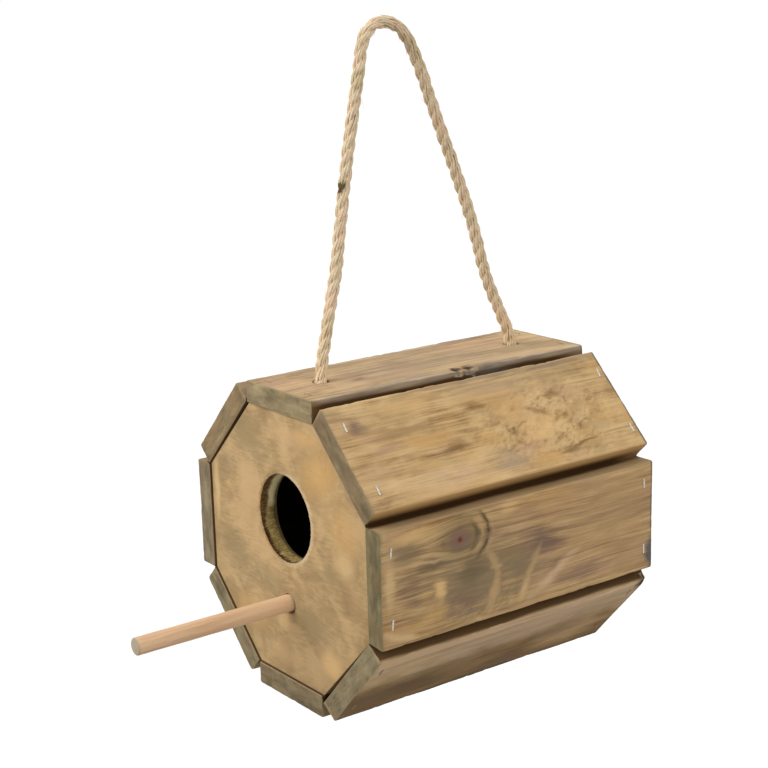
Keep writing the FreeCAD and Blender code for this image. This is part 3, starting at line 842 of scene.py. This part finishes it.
def weather_plank(bm, look, props):
    """Brushes the grain up, knocks the edges about and sinks the hollows."""
    seed = look.seed
    on_face = 0.01
    inner_strip = 1.5
    for v in bm.verts:
        point = v.co / MM
        x, y, z = point
        near_x, near_y, near_z = (half - abs(at) for half, at in zip(HALF_BOARD, point))
        sign = Vector(math.copysign(1, at) for at in point)
        if z < inner_strip - HALF_BOARD.z:
            v.co.x += sign.x * SEAM / 2 * (near_x < on_face)
            continue
        grain = noise.noise((x * 0.55 + seed * 9, y * 0.022, z * 0.55 + seed * 5))
        swell = noise.noise((x * 0.06, y * 0.018, seed * 3.7))
        brushed = props.relief * (grain + 1.2 * swell - 1.2)
        push = Vector((sign.x * brushed * (near_x < on_face), 0, brushed * (near_z < on_face)))
        knock = noise.noise((y * 0.045 + seed * 3, x * 0.02, z * 0.05 + sign.x * 7))
        chip = noise.noise((y * 0.21 + seed * 8, x * 0.2, z * 0.3 + sign.x * 3))
        eaten = props.wear * (max(0.0, 0.35 + knock) * 0.7 + max(0.0, chip - 0.12) * 1.6)
        at_long = max(0.0, 1 - near_x / 2.6) * max(0.0, 1 - near_z / 2.6) * (z > 0)
        at_end = max(0.0, 1 - near_y / 2.0) * max(0.0, 1 - min(near_x, near_z) / 2.0)
        push -= Vector((sign.x, 0, sign.z)) * (at_long * eaten * 0.7)
        push.y -= sign.y * at_end * eaten * 0.8
        if near_y < 1.2:
            push.y -= sign.y * (0.12 + 0.12 * noise.noise((x * 0.3, z * 0.3, seed + sign.y))) * MM
        v.co += push + hollow_push(point, sign, seed, look.hollows)


def flare_plank(bm, look):
    """Widens a board's faces at their long edges, as a saw set off square leaves them."""
    for v in bm.verts:
        outward = v.co.z / BOARD_SIZE.z + 0.5
        for sign, outer, inner in widened(look):
            near = max(0.0, sign * v.co.x / BOARD_SIZE.x * 10 - 4)
            v.co.x += sign * (inner + (outer - inner) * outward) * MM * near


def staple_marks(look):
    """Where a board's four staples sit, across and along."""
    along = BOARD_SIZE.y / 2 - STAPLE_INSET
    return [(x * STAPLE_ACROSS, y * along + look.staples_back * MM) for y in (-1, 1) for x in (-1, 1)]


def dent_tool(look, holes):
    """What is taken out of a board: the dents its staples sit in, and any rope holes."""
    room = DENT_ROOM[look.bright]
    bm = bmesh.new()
    for x, y in staple_marks(look):
        dent = add_box(bm, (CROWN.x + room, CROWN.y + room, DENT_HEIGHT))
        bmesh.ops.translate(bm, vec=(x, y, BOARD_SIZE.z / 2), verts=dent)
    for y in holes:
        bore = add_rod(bm, 40, ROPE_HOLE_RADIUS, BOARD_SIZE.z * 2)
        bmesh.ops.translate(bm, vec=(0, y, 0), verts=bore)
    return mesh_from(bm, "dents")


def board_place(look):
    """Where a board sits, with the small roll of one that isn't stapled down tight."""
    low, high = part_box(f"{look.part}_slat")
    place = Matrix.Translation((low + high) / 2) @ Matrix.Rotation(math.radians(look.turn), 4, "Y")
    edge = Matrix.Translation((-BOARD_SIZE.x / 2, 0, -BOARD_SIZE.z / 2))
    roll = Matrix.Rotation(math.radians(-look.roll), 4, "Y")
    return place @ edge @ roll @ edge.inverted()


def build_board(look, props):
    """One board of the barrel, with its stain, sawn ends and an inner face painted dark as shade."""
    place = board_place(look)
    middle, turned = place.translation, place.to_euler()
    bm = plank_blank(props.arris)
    weather_plank(bm, look, props)
    flare_plank(bm, look)
    holes = [y - middle.y for y in ROPE_HOLES_Y] if look.part == "top" else ()
    mesh = cut_away(mesh_from(bm, look.part), dent_tool(look, holes))
    mesh.materials.append(stain_board(look, middle, turned, props))
    mesh.materials.append(end_grain(look, middle, turned))
    mesh.materials.append(shared("inside_wood", inside_wood))
    for face in mesh.polygons:
        face.material_index = 0
        if abs(face.normal.y) > 0.8 and abs(face.center.y) > BOARD_SIZE.y / 2 - 1.5 * MM:
            face.material_index = 1
        elif face.normal.z < -0.9 and face.center.z < 1 * MM - BOARD_SIZE.z / 2:
            face.material_index = 2
    mesh.transform(place)
    set_piece(f"board_{look.part}", mesh, "barrel", f"{look.part}_slat")


# Staples

def staple_steel(name, dark, bright, metal, rough):
    """Drawn wire, dulled by the stain that was brushed over it."""
    s = new_shade(name)
    scuff = s.noise(s.place(), 0.9, 4, 0.6)
    colour = s.ramp(scuff, (0.35, dark), (0.65, bright))
    dull = s.ease(scuff, 0.3, 0.7, rough + 0.18, rough)
    return s.surface(Base_Color=colour, Metallic=metal, Roughness=dull)


def staple_blank():
    """One staple about the origin: a flat crown with rounded shoulders, and two legs."""
    bm = bmesh.new()
    add_box(bm, CROWN)
    cut_loops(bm, 0, 4, CROWN.x / 2)
    leg_inside = CROWN.x / 2 - CROWN.z
    for v in bm.verts:
        if CROWN.x * 0.2 < abs(v.co.x) < CROWN.x * 0.4:
            v.co.x = math.copysign(leg_inside, v.co.x)
    bm.normal_update()
    under = [f for f in bm.faces if f.normal.z < -0.9 and abs(f.calc_center_median().x) > leg_inside]
    legs = bmesh.ops.extrude_discrete_faces(bm, faces=under)["faces"]
    bmesh.ops.translate(bm, vec=(0, 0, -LEG), verts=[v for f in legs for v in f.verts])
    bmesh.ops.recalc_face_normals(bm, faces=bm.faces)
    round_edges(bm, [e for e in bm.edges if e.is_manifold and e.calc_face_angle(0) > 0.5], WIRE_ROUND)
    return mesh_from(bm, "staple")


def build_staples(look):
    """The four staples of one board, each a little askew, driven through it into the panels."""
    rng = random.Random(look.turn)
    blank = staple_blank()
    bm = bmesh.new()
    for x, y in staple_marks(look):
        askew = Matrix.Rotation(math.radians(rng.uniform(-CROWN_TILT, CROWN_TILT)), 4, "Z")
        staple = blank.copy()
        staple.transform(Matrix.Translation((x, y, BOARD_SIZE.z / 2 - CROWN_SINK)) @ askew)
        bm.from_mesh(staple)
        bpy.data.meshes.remove(staple)
    bpy.data.meshes.remove(blank)
    mesh = mesh_from(bm, look.part)
    if look.bright:
        steel, finish = "bright_staples", ((0.46, 0.41, 0.32), (0.78, 0.73, 0.62), 0.35, 0.42)
    else:
        steel, finish = "stained_staples", ((0.22, 0.150, 0.082), (0.40, 0.280, 0.160), 0.05, 0.72)
    mesh.materials.append(shared(steel, staple_steel, *finish))
    mesh.transform(board_place(look))
    set_piece(f"staples_{look.part}", mesh, "barrel", f"{look.part}_slat_staples")


# Panels

def stain_panel(name, centre, seed, marks, rim=None):
    """Smooth pale end panel: faint level grain under cloudy patches of stain, and a bored hole's rim: dirt
    and painted shade on the left, wear and a painted highlight on the right.
    """
    s = new_shade(name)
    place = s.place(centre, PANEL_AXES.to_euler())
    shifted = place + (seed * 137.0, seed * 291.0, seed * 53.0)
    flow = s.drift(shifted, 0.02, (14, 0, 8))
    fine = s.noise(flow * (1, 0.14, 1), 0.75, 4, 0.6)
    cloud = s.noise(shifted * (1, 0.8, 1), 0.06, 4, 0.6, 0.4)
    broad = s.noise(shifted, 0.018, 2)
    tone = cloud * 0.5 + broad * 0.30 + fine * 0.20
    colour = s.ramp(
        (tone - 0.5) * 1.35 + 0.5,
        (0.32, (0.30, 0.200, 0.095)), (0.46, (0.43, 0.285, 0.135)),
        (0.55, (0.53, 0.355, 0.172)), (0.68, HONEY),
    )
    colour = s.spots(colour, place, fine * 0.5 + cloud * 0.5, marks)
    colour = s.wash(colour, SMUDGE, s.noise(flow * (1, 0.3, 1), 1.3, 2), 0.60, 0.76, 0.28)
    if rim:
        rise, radius = rim
        along = s.split(place)[1]
        off = ((place + (rise, 0, 0)) * (1, 1, 0)).length() + (s.noise(place, 0.5, 3) - 0.5) * 5.0
        # Dirt and painted shade: a dark band round the left of the rim
        rim_dirt_and_shade = s.ease(off, radius + 3.0, radius) * s.ease(along, 2.0, -16.0, 0, 0.75)
        colour = s.mix(rim_dirt_and_shade, colour, SMUDGE)
        # Wear and a painted highlight: a pale band round the right of the rim
        worn = s.ease(off, radius + 3.6, radius + 0.4) * s.ease(along, -12.0, 16.0, 0.0, 0.5)
        colour = s.mix(worn, colour, (0.80, 0.64, 0.42))
    return s.surface(
        Base_Color=colour,
        Roughness=s.ease(fine, 0.3, 0.7, 0.82, 0.66),
        Specular_IOR_Level=0.1,
        Normal=s.bump(fine, 0.35 * MM, 0.4),
    )


def bored_wall(name, front, middle):
    """Cut edge of the entrance: torn brown outer layer, then cream and olive layers, fibrous all round; the
    cream on the upper wall is pale wood made paler as painted light.
    """
    s = new_shade(name)
    place = s.place((0, front, 0))
    fibre = s.noise(place * (1, 0.35, 1), 1.0, 4, 0.65)
    _, deep, up = s.split(place)
    ragged = (s.noise(place, 0.09, 2) - 0.5) * 8.0
    colour = s.ramp(fibre, (0.3, (0.17, 0.105, 0.030)), (0.5, (0.43, 0.30, 0.10)), (0.7, (0.68, 0.52, 0.23)))
    # Painted light: pale wood on the upper wall, deeper in, lifted to near white for the light that falls
    # there
    pale = s.ramp(fibre, (0.3, (0.96, 0.79, 0.40)), (0.48, (1.0, 0.86, 0.47)))
    high = s.ease(up + ragged, middle - 2.0, middle + 4.0)
    colour = s.mix(high * s.ease(deep, 3.0, 5.0), colour, pale)
    torn = s.ramp(fibre, (0.34, (0.055, 0.027, 0.009)), (0.7, (0.30, 0.165, 0.060)))
    low = s.ease(up, middle - 3.0, middle - 14.0)
    colour = s.wash(colour, torn, deep + ragged + low * 1.8, 5.0, 3.0, 0.9)
    charred = s.ease(deep + (fibre - 0.5) * 8.0, 2.6, 0.8, 0, 0.8)
    colour = s.mix(low * charred, colour, NEAR_BLACK)
    colour = s.wash(colour, (0.115, 0.095, 0.046), deep + ragged * 0.5, 7.5, 9.5, 0.85)
    relief = s.bump(fibre, 0.6 * MM, 0.7)
    return s.surface(Base_Color=colour, Roughness=0.95, Specular_IOR_Level=0.1, Normal=relief)


def plain_fibre(name):
    """Pale loose fibres at the entrance's rim."""
    s = new_shade(name)
    colour = s.ramp(s.noise(s.place(), 0.4, 2), (0.35, (0.46, 0.34, 0.19)), (0.65, (0.76, 0.62, 0.42)))
    return s.surface(Base_Color=colour, Roughness=0.95, Specular_IOR_Level=0.1)


def fray_rim(mesh, centre, radius, material_index):
    """Stands short torn fibres round the front rim of the entrance."""
    rng = random.Random(31)
    bm = bmesh.new()
    bm.from_mesh(mesh)
    for _ in range(RIM_FIBRES):
        angle = rng.uniform(0, 2 * math.pi)
        out = Vector((math.cos(angle), 0, math.sin(angle)))
        along = Vector((-out.z, 0, out.x))
        heading = out * rng.uniform(-0.7, 0.7) + along * rng.uniform(-1.0, 1.0)
        heading.y += rng.uniform(-0.8, 0.1)
        long = rng.uniform(0.4, 1.2) * MM
        fibre = add_rod(bm, 5, rng.uniform(0.06, 0.12) * MM, long, 0.02 * MM)
        turn = heading.to_track_quat("Z", "Y").to_matrix().to_4x4()
        root = centre + out * (radius + rng.uniform(-0.1, 0.5) * MM)
        stand = Matrix.Translation(root + heading.normalized() * long * 0.35) @ turn
        bmesh.ops.transform(bm, matrix=stand, verts=fibre)
        for face in {f for v in fibre for f in v.link_faces}:
            face.material_index = material_index
    bm.to_mesh(mesh)
    bm.free()


def octagon_blank(low, high, play):
    """An eight-sided panel between two corners, a little smaller than its opening."""
    bm = bmesh.new()
    flat = (high.x - low.x) / 2 - play
    bmesh.ops.create_circle(bm, cap_ends=True, segments=8, radius=flat / math.cos(math.pi / 8))
    bmesh.ops.rotate(bm, matrix=Matrix.Rotation(math.pi / 8, 3, "Z"), verts=bm.verts)
    lay_back(bm, ((low.x + high.x) / 2, low.y, (low.z + high.z) / 2))
    made = bmesh.ops.extrude_face_region(bm, geom=bm.faces[:])["geom"]
    far = [v for v in made if isinstance(v, bmesh.types.BMVert)]
    bmesh.ops.translate(bm, vec=(0, high.y - low.y, 0), verts=far)
    bmesh.ops.recalc_face_normals(bm, faces=bm.faces)
    round_edges(bm, bm.edges[:], END_ARRIS)
    return mesh_from(bm, "panel")


def entrance_tool(centre, radius, depth, wear):
    """The cutter of the entrance, with the ragged wall, worn rims and slanted upper left that it leaves."""
    worn_depth = 4
    slant = 1.3 * MM
    upper_left = math.radians(135)
    bm = bmesh.new()
    add_rod(bm, 144, radius, depth + 8 * MM)
    cut_loops(bm, 2, 39, depth)
    for v in bm.verts:
        away = Vector((v.co.x, v.co.y))
        if away.length < radius / 2:
            continue
        angle = math.atan2(v.co.y, v.co.x)
        x, y = math.cos(angle), math.sin(angle)
        torn = noise.noise((x * 9, y * 9, v.co.z / MM * 0.12))
        nick = noise.noise((x * 30, y * 30, v.co.z / MM * 0.5))
        grown = wear * (0.35 * torn + 0.35 * nick)
        deep = (depth / 2 - v.co.z) / MM
        grown -= slant * max(0.0, math.cos(angle - upper_left)) * min(max((deep - 2.5) / 5, 0.0), 1.0)
        from_face = max(0.0, depth / 2 - abs(v.co.z)) / MM
        if from_face < worn_depth:
            grown += wear * (1 - from_face / worn_depth) * (1.6 + 1.2 * torn + 0.9 * nick)
        v.co.x, v.co.y = away * (1 + grown / radius)
    lay_back(bm, centre)
    return mesh_from(bm, "entrance_tool")


def bore_tool(centre, radius, depth):
    bm = bmesh.new()
    add_rod(bm, 48, radius, depth)
    lay_back(bm, centre)
    return mesh_from(bm, "bore_tool")


def build_front_panel(props):
    """The panel with the entrance and the perch hole."""
    low, high = PANEL_LOW + Vector((0, props.recess, 0)), PANEL_HIGH
    centre, deep = (low + high) / 2, high.y - low.y
    rise, radius = (size * MM for size in ENTRANCE)
    entrance = Vector((0, centre.y, centre.z + rise))
    perch = Vector((0, centre.y, (PERCH_LOW.z + PERCH_HIGH.z) / 2))
    mesh = octagon_blank(low, high, props.play)
    mesh = cut_away(mesh, entrance_tool(entrance, radius, deep, props.rim_wear))
    mesh = cut_away(mesh, bore_tool(perch + PERCH_HOLE_SHIFT, PERCH_HOLE_RADIUS, deep * 2))
    mesh.materials.append(stain_panel("stained_front_panel", centre, 11, FRONT_SPOTS, ENTRANCE))
    mesh.materials.append(bored_wall("bored_entrance", low.y, entrance.z / MM))
    mesh.materials.append(shared("inside_wood", inside_wood))
    mesh.materials.append(plain_fibre("rim_fibre"))
    for face in mesh.polygons:
        away = face.center - entrance
        face.material_index = 0
        if math.hypot(away.x, away.z) < radius + 2.5 * MM and abs(face.normal.y) < 0.85:
            face.material_index = 1
        elif face.normal.y > 0.9:
            face.material_index = 2
    fray_rim(mesh, Vector((entrance.x, low.y, entrance.z)), radius + 0.15 * MM, 3)
    set_piece("entrance_panel", mesh, "barrel", "front_panel", 30)


def build_back_panel(props):
    """The plain panel at the back."""
    mesh = octagon_blank(BACK_LOW, BACK_HIGH, props.play)
    mesh.materials.append(stain_panel("stained_back_panel", (BACK_LOW + BACK_HIGH) / 2, 12, BACK_SPOTS))
    mesh.materials.append(shared("inside_wood", inside_wood))
    for face in mesh.polygons:
        face.material_index = 1 if face.normal.y < -0.9 else 0
    set_piece("rear_panel", mesh, "barrel", "back_panel", 30)


# Perch

def perch_wood(name, centre, half_length):
    """Sanded beech dowel: pinkish, with short dark flecks along it, painted paler near the panel to lift the
    shade there, grey at its tip.
    """
    s = new_shade(name)
    place = s.place(centre)
    flow = s.drift(place, 0.03, (3, 0, 3))
    streak = s.noise(flow * (1, 0.03, 1), 0.5, 4, 0.6)
    fleck = s.noise(flow * (1, 0.16, 1), 2.2, 2)
    along = s.split(place)[1]
    colour = s.ramp(
        streak, (0.3, (0.62, 0.385, 0.215)), (0.5, (0.74, 0.475, 0.275)), (0.7, (0.84, 0.575, 0.36))
    )
    # Painted light: paler towards the panel, to lift the shade the panel casts on it
    colour = s.wash(colour, (0.95, 0.65, 0.40), along, -10.0, 36.0, 0.7)
    colour = s.wash(colour, (0.42, 0.25, 0.14), fleck, 0.6, 0.75, 0.28)
    colour = s.wash(colour, (0.35, 0.30, 0.215), along, 1.0 - half_length, 0.2 - half_length, 0.85)
    return s.surface(
        Base_Color=colour,
        Roughness=s.ease(streak, 0.3, 0.7, 0.62, 0.5),
        Specular_IOR_Level=0.25,
        Normal=s.bump(fleck, 0.2 * MM, 0.2),
    )


def build_perch():
    """The dowel, with a softened tip and the slight waver of turned wood."""
    centre, size = (PERCH_LOW + PERCH_HIGH) / 2, PERCH_HIGH - PERCH_LOW
    bm = bmesh.new()
    add_rod(bm, 64, size.x / 2, size.y)
    round_edges(bm, [e for e in bm.edges if abs(e.verts[0].co.z - e.verts[1].co.z) < 1e-6], 0.8 * MM, 3)
    cut_loops(bm, 2, 39, size.y / 2)
    for v in bm.verts:
        x, y, z = v.co / MM
        waver = 1 + 0.012 * (noise.noise((x * 0.2, y * 0.2, z * 0.05)) - 0.5)
        v.co.x *= waver
        v.co.y *= waver
    lay_back(bm, centre)
    mesh = mesh_from(bm, "perch")
    mesh.materials.append(perch_wood("sanded_perch", centre, size.y / MM / 2))
    set_piece("perch_dowel", mesh, "barrel", "perch")


# Rope

def new_curve(name):
    curve = bpy.data.curves.new(name, "CURVE")
    curve.dimensions = "3D"
    return curve


def add_spline(curve, kind, points, radii=None):
    spline = curve.splines.new(kind)
    spline.points.add(len(points) - 1)
    for point, at, radius in zip(spline.points, points, radii or [1.0] * len(points)):
        point.co = (*at, 1)
        point.radius = radius
    return spline


def mesh_of(curve):
    """The mesh that a curve makes, in place of the curve."""
    holder = bpy.data.objects.new(curve.name, curve)
    mesh = bpy.data.meshes.new_from_object(holder)
    bpy.data.objects.remove(holder)
    bpy.data.curves.remove(curve)
    return mesh


def route_points(points, resolution):
    """Points along the smooth line that a NURBS spline draws from its control points."""
    curve = new_curve("route")
    curve.resolution_u = resolution
    spline = add_spline(curve, "NURBS", points)
    spline.order_u = 3
    spline.use_endpoint_u = True
    mesh = mesh_of(curve)
    line = [v.co.copy() for v in mesh.vertices]
    bpy.data.meshes.remove(mesh)
    return line


def carried_frames(line):
    """At each point of a line: its tangent, two normals that don't turn about it, and the length so far."""
    frames, normal, gone = [], None, 0.0
    for i, point in enumerate(line):
        tangent = (line[min(i + 1, len(line) - 1)] - line[max(i - 1, 0)]).normalized()
        if normal is None:
            normal = tangent.orthogonal().normalized()
        else:
            gone += (point - line[i - 1]).length
        normal = (normal - tangent * normal.dot(tangent)).normalized()
        frames.append((point, tangent, normal, tangent.cross(normal), gone))
    return frames


def held_in(point, line, reach):
    """The point, drawn in towards a line when it is further from it than reach."""
    nearest = min(line, key=lambda at: (at - point).length_squared)
    away = point - nearest
    return nearest + away * min(1.0, reach / max(away.length, 1e-9))


def strand_at(here, strand, props, seed):
    """A strand at one frame of the rope's line: its middle, its way out from that line, and its heading."""
    point, tangent, first, second, gone = here
    reach = props.diameter * STRAND_REACH
    angle = 2 * math.pi * (gone / props.lay + strand / STRANDS)
    angle += 0.35 * noise.noise((gone * 22, strand * 5.1, seed))
    out = first * math.cos(angle) + second * math.sin(angle)
    round_way = second * math.cos(angle) - first * math.sin(angle)
    heading = (tangent + round_way * (2 * math.pi * reach / props.lay)).normalized()
    swell = 1 + 0.10 * noise.noise((gone * 40, strand * 3.3, seed + 9))
    return point + out * reach * swell, out, heading


def lay_yarn(curve, frames, strand, yarn, start, props, seed):
    """One yarn, twisted round its strand against the lay of the rope."""
    points, radii = [], []
    for here in frames:
        gone = here[4]
        centre, out, heading = strand_at(here, strand, props, seed)
        turn = 2 * math.pi * ((yarn + start) / props.yarns - gone / (props.lay * YARN_LAY))
        reach = props.diameter * YARN_REACH * (1 + 0.18 * noise.noise((gone * 60, yarn * 2.7, strand + seed)))
        points.append(centre + (out * math.cos(turn) + heading.cross(out) * math.sin(turn)) * reach)
        radii.append(1 + 0.22 * noise.noise((gone * 90, yarn * 4.1, strand * 3 + seed)))
    add_spline(curve, "POLY", points, radii)


def loose_hair(curve, frames, line, props, rng, seed):
    """One loose fibre that lifts off a strand and lies along it."""
    here = frames[rng.randrange(2, len(frames) - 14)]
    centre, out, heading = strand_at(here, rng.randrange(STRANDS), props, seed)
    side = heading.cross(out)
    lean = rng.uniform(-1.2, 1.2)
    away = out * math.cos(lean) + side * math.sin(lean)
    root = centre + away * props.diameter * (YARN_REACH + YARN_RADIUS * 0.6)
    long = rng.uniform(2.5, 7.0) * MM
    drift = heading * rng.choice((-1, 1)) + away * rng.uniform(0.05, 0.30) + side * rng.uniform(-0.35, 0.35)
    drift.normalize()
    bend = away * rng.uniform(-0.25, 0.05)
    points = [held_in(root + (drift + bend * t) * long * t, line, HAIR_REACH) for t in HAIR_STEPS]
    add_spline(curve, "POLY", points, HAIR_RADII)


def lay_rope(line, props, hairs, seed):
    """A mesh of three strands of twisted yarns laid along a line, with loose fibres."""
    rng = random.Random(seed)
    frames = carried_frames(line)
    curve = new_curve("strands")
    curve.bevel_depth = props.diameter * YARN_RADIUS
    curve.bevel_resolution = 1
    curve.use_fill_caps = True
    for strand in range(STRANDS):
        for yarn in range(props.yarns):
            lay_yarn(curve, frames, strand, yarn, rng.uniform(0, 0.3), props, seed)
    for _ in range(hairs):
        loose_hair(curve, frames, line, props, rng, seed)
    return mesh_of(curve)


def jute(name, props):
    """Dry plant fibre: straw and dun yarns, rosy and khaki by turns, dusty and without shine."""
    s = new_shade(name)
    place = s.place()
    yarn = s.noise(place * (1, 1, 0.35), 0.9, 3, 0.6)
    fibre = s.noise(place * (1, 1, 0.25), 4.0, 3, 0.6)
    stretch = s.noise(place, 0.085, 2)
    tone = yarn * 0.6 + fibre * 0.4
    colour = s.ramp(tone, (0.34, props.dun), (0.50, (0.82, 0.655, 0.44)), (0.64, props.straw))
    colour = s.wash(colour, (0.88, 0.63, 0.44), stretch, 0.48, 0.66, 0.55)
    colour = s.wash(colour, (0.60, 0.48, 0.26), stretch, 0.48, 0.32, 0.50)
    # Painted shade: a dark mark in the front leg where the rope kinks
    fleck = s.fit(s.drift(place, 0.5, (2, 2, 2)), **ROPE_KINK_SHADE).length()
    colour = s.wash(colour, (0.11, 0.068, 0.025), fleck, 1.2, 0.5, 0.92)
    relief = s.bump(fibre, 0.25 * MM, 0.6)
    return s.surface(Base_Color=colour, Roughness=0.95, Specular_IOR_Level=0.1, Normal=relief)


def build_rope(props):
    """The hanging loop of rope, from knot to knot over the hook, and its middle line."""
    line = route_points([(0, y, z) for y, z in ROPE_ROUTE], 24)
    mesh = lay_rope(line, props, HAIRS, 5)
    mesh.materials.append(shared("jute_rope", jute, props))
    rope = set_piece("hanging_rope", mesh, None, "rope_loop", 60)
    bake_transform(rope)
    return rope, line


def build_knot(name, y, node, props, seed):
    """A stopper knot: the rope's end wrapped about itself under the board, and its loose tail."""
    low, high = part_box(node)
    top = Vector((0, y, high.z))
    core = [(0, 0, 0), (0, 0, -6), (0.4, -0.2, -16), (1.2, 0.4, -26), (0.2, 1.6, (low.z - high.z) / MM + 1)]
    wrap = []
    for step in range(WRAP_POINTS):
        turn = 2 * math.pi * step / WRAP_POINTS_PER_TURN
        reach = WRAP_RADIUS if 0 < step < WRAP_POINTS - 1 else WRAP_END_RADIUS
        wrap.append((reach * math.cos(turn), reach * math.sin(turn), WRAP_TOP - WRAP_FALL * step))
    bm = bmesh.new()
    for points, hairs in ((core, 60), (wrap, 40)):
        line = route_points([top + Vector(point) * MM for point in points], 12)
        part = lay_rope(line, props, hairs, seed)
        bm.from_mesh(part)
        bpy.data.meshes.remove(part)
    mesh = mesh_from(bm, name)
    mesh.materials.append(shared("jute_rope", jute, props))
    return set_piece(name, mesh, "barrel", node, 60)


# Stage

def build_camera():
    lens = bpy.data.cameras.new("camera")
    lens.sensor_width = SENSOR
    lens.lens = LENS
    lens.clip_start = 0.01
    lens.clip_end = 50
    camera = bpy.data.objects.new("camera", lens)
    camera.matrix_world = Matrix.Translation(CAMERA_PLACE) @ Matrix(CAMERA_AXES).transposed().to_4x4()
    bpy.context.scene.collection.objects.link(camera)
    bpy.context.scene.camera = camera


def add_soft_sun(name, toward, strength, spread):
    """A broad even light from one direction."""
    lamp = bpy.data.lights.new(name, "SUN")
    lamp.energy = strength
    lamp.angle = math.radians(spread)
    light = bpy.data.objects.new(name, lamp)
    light.rotation_euler = (-Vector(toward)).to_track_quat("-Z", "Y").to_euler()
    bpy.context.scene.collection.objects.link(light)


def build_world(fill):
    """Even light all round, seen as plain white."""
    world = bpy.data.worlds.new("studio")
    bpy.context.scene.world = world
    s = Shade(world)
    lights = [
        s.add("ShaderNodeBackground", {"Color": (1, 1, 1), "Strength": strength}) for strength in (fill, 1.0)
    ]
    s.seen("ShaderNodeOutputWorld", *lights)


def build_floor(height):
    """A plain pale floor: matt, lifted to white for the camera where no shadow falls."""
    bm = bmesh.new()
    bmesh.ops.create_grid(bm, x_segments=1, y_segments=1, size=FLOOR_SIZE)
    bmesh.ops.translate(bm, vec=(0, 0, height), verts=bm.verts)
    mesh = mesh_from(bm, "floor")
    s = new_shade("white_floor")
    bounce, white = (
        s.add("ShaderNodeBsdfDiffuse", {"Color": (pale,) * 3}) for pale in (FLOOR_BOUNCE, FLOOR_WHITE)
    )
    glow = s.add("ShaderNodeEmission", {"Color": (1, 1, 1), "Strength": FLOOR_GLOW})
    s.seen("ShaderNodeOutputMaterial", bounce, s.add("ShaderNodeAddShader", {0: white, 1: glow}))
    mesh.materials.append(s.owner)
    floor = bpy.data.objects.new("floor", mesh)
    bpy.context.scene.collection.objects.link(floor)


# Operators

class NEST_OT_stage(bpy.types.Operator):
    """Sets up the camera, the soft lights, the white surround and the floor"""

    bl_idname = "nest.stage"
    bl_label = "Stage"

    def execute(self, context):
        props = context.scene.nest.stage
        context.scene.view_settings.view_transform = "Standard"
        build_camera()
        build_world(props.fill)
        build_floor(CAD_LOW.z - props.floor_drop)
        add_soft_sun("front_light", (-0.30, -0.80, 0.52), props.key, 50)
        add_soft_sun("side_light", (0.85, 0.10, 0.52), props.side, 60)
        add_soft_sun("rear_light", (-0.60, 0.70, 0.40), props.rear, 70)
        return {"FINISHED"}


class NEST_OT_rope(bpy.types.Operator):
    """Lays the hanging rope and its two stopper knots"""

    bl_idname = "nest.rope"
    bl_label = "Rope and knots"

    def execute(self, context):
        props = context.scene.nest.rope
        rope, line = build_rope(props)
        knots = [
            build_knot("front_stopper_knot", ROPE_HOLES_Y[0], "front_rope_knot", props, 21),
            build_knot("rear_stopper_knot", ROPE_HOLES_Y[1], "rear_rope_knot", props, 22),
        ]
        return {"FINISHED"}


class NEST_OT_boards(bpy.types.Operator):
    """Builds the eight stained boards"""

    bl_idname = "nest.boards"
    bl_label = "Boards"

    def execute(self, context):
        for look in LOOKS:
            build_board(look, context.scene.nest.boards)
        return {"FINISHED"}


class NEST_OT_staples(bpy.types.Operator):
    """Drives the staples into the boards"""

    bl_idname = "nest.staples"
    bl_label = "Staples"

    def execute(self, context):
        for look in LOOKS:
            build_staples(look)
        return {"FINISHED"}


class NEST_OT_panels(bpy.types.Operator):
    """Builds the entrance panel and the back panel"""

    bl_idname = "nest.panels"
    bl_label = "Panels"

    def execute(self, context):
        build_front_panel(context.scene.nest.panels)
        build_back_panel(context.scene.nest.panels)
        return {"FINISHED"}


class NEST_OT_perch(bpy.types.Operator):
    """Turns the perch dowel"""

    bl_idname = "nest.perch"
    bl_label = "Perch"

    def execute(self, context):
        build_perch()
        return {"FINISHED"}


STEPS = (NEST_OT_stage, NEST_OT_rope, NEST_OT_boards, NEST_OT_staples, NEST_OT_panels, NEST_OT_perch)


class NEST_PT_steps(bpy.types.Panel):
    """Lists the steps that dress the barrel"""

    bl_idname = "NEST_PT_steps"
    bl_label = "Nesting Barrel"
    bl_space_type = "VIEW_3D"
    bl_region_type = "UI"
    bl_category = "Nest"

    def draw(self, context):
        for step in STEPS:
            self.layout.operator(step.bl_idname)


CLASSES = (BoardProps, PanelProps, RopeProps, StageProps, NestProps, *STEPS, NEST_PT_steps)


def register():
    for cls in CLASSES:
        bpy.utils.register_class(cls)
    bpy.types.Scene.nest = PointerProperty(type=NestProps)


def unregister():
    del bpy.types.Scene.nest
    for cls in reversed(CLASSES):
        bpy.utils.unregister_class(cls)


def main():
    register()
    bpy.ops.nest.stage()
    bpy.ops.nest.rope()
    bpy.ops.nest.boards()
    bpy.ops.nest.staples()
    bpy.ops.nest.panels()
    bpy.ops.nest.perch()


if __name__ == "__main__":
    main()
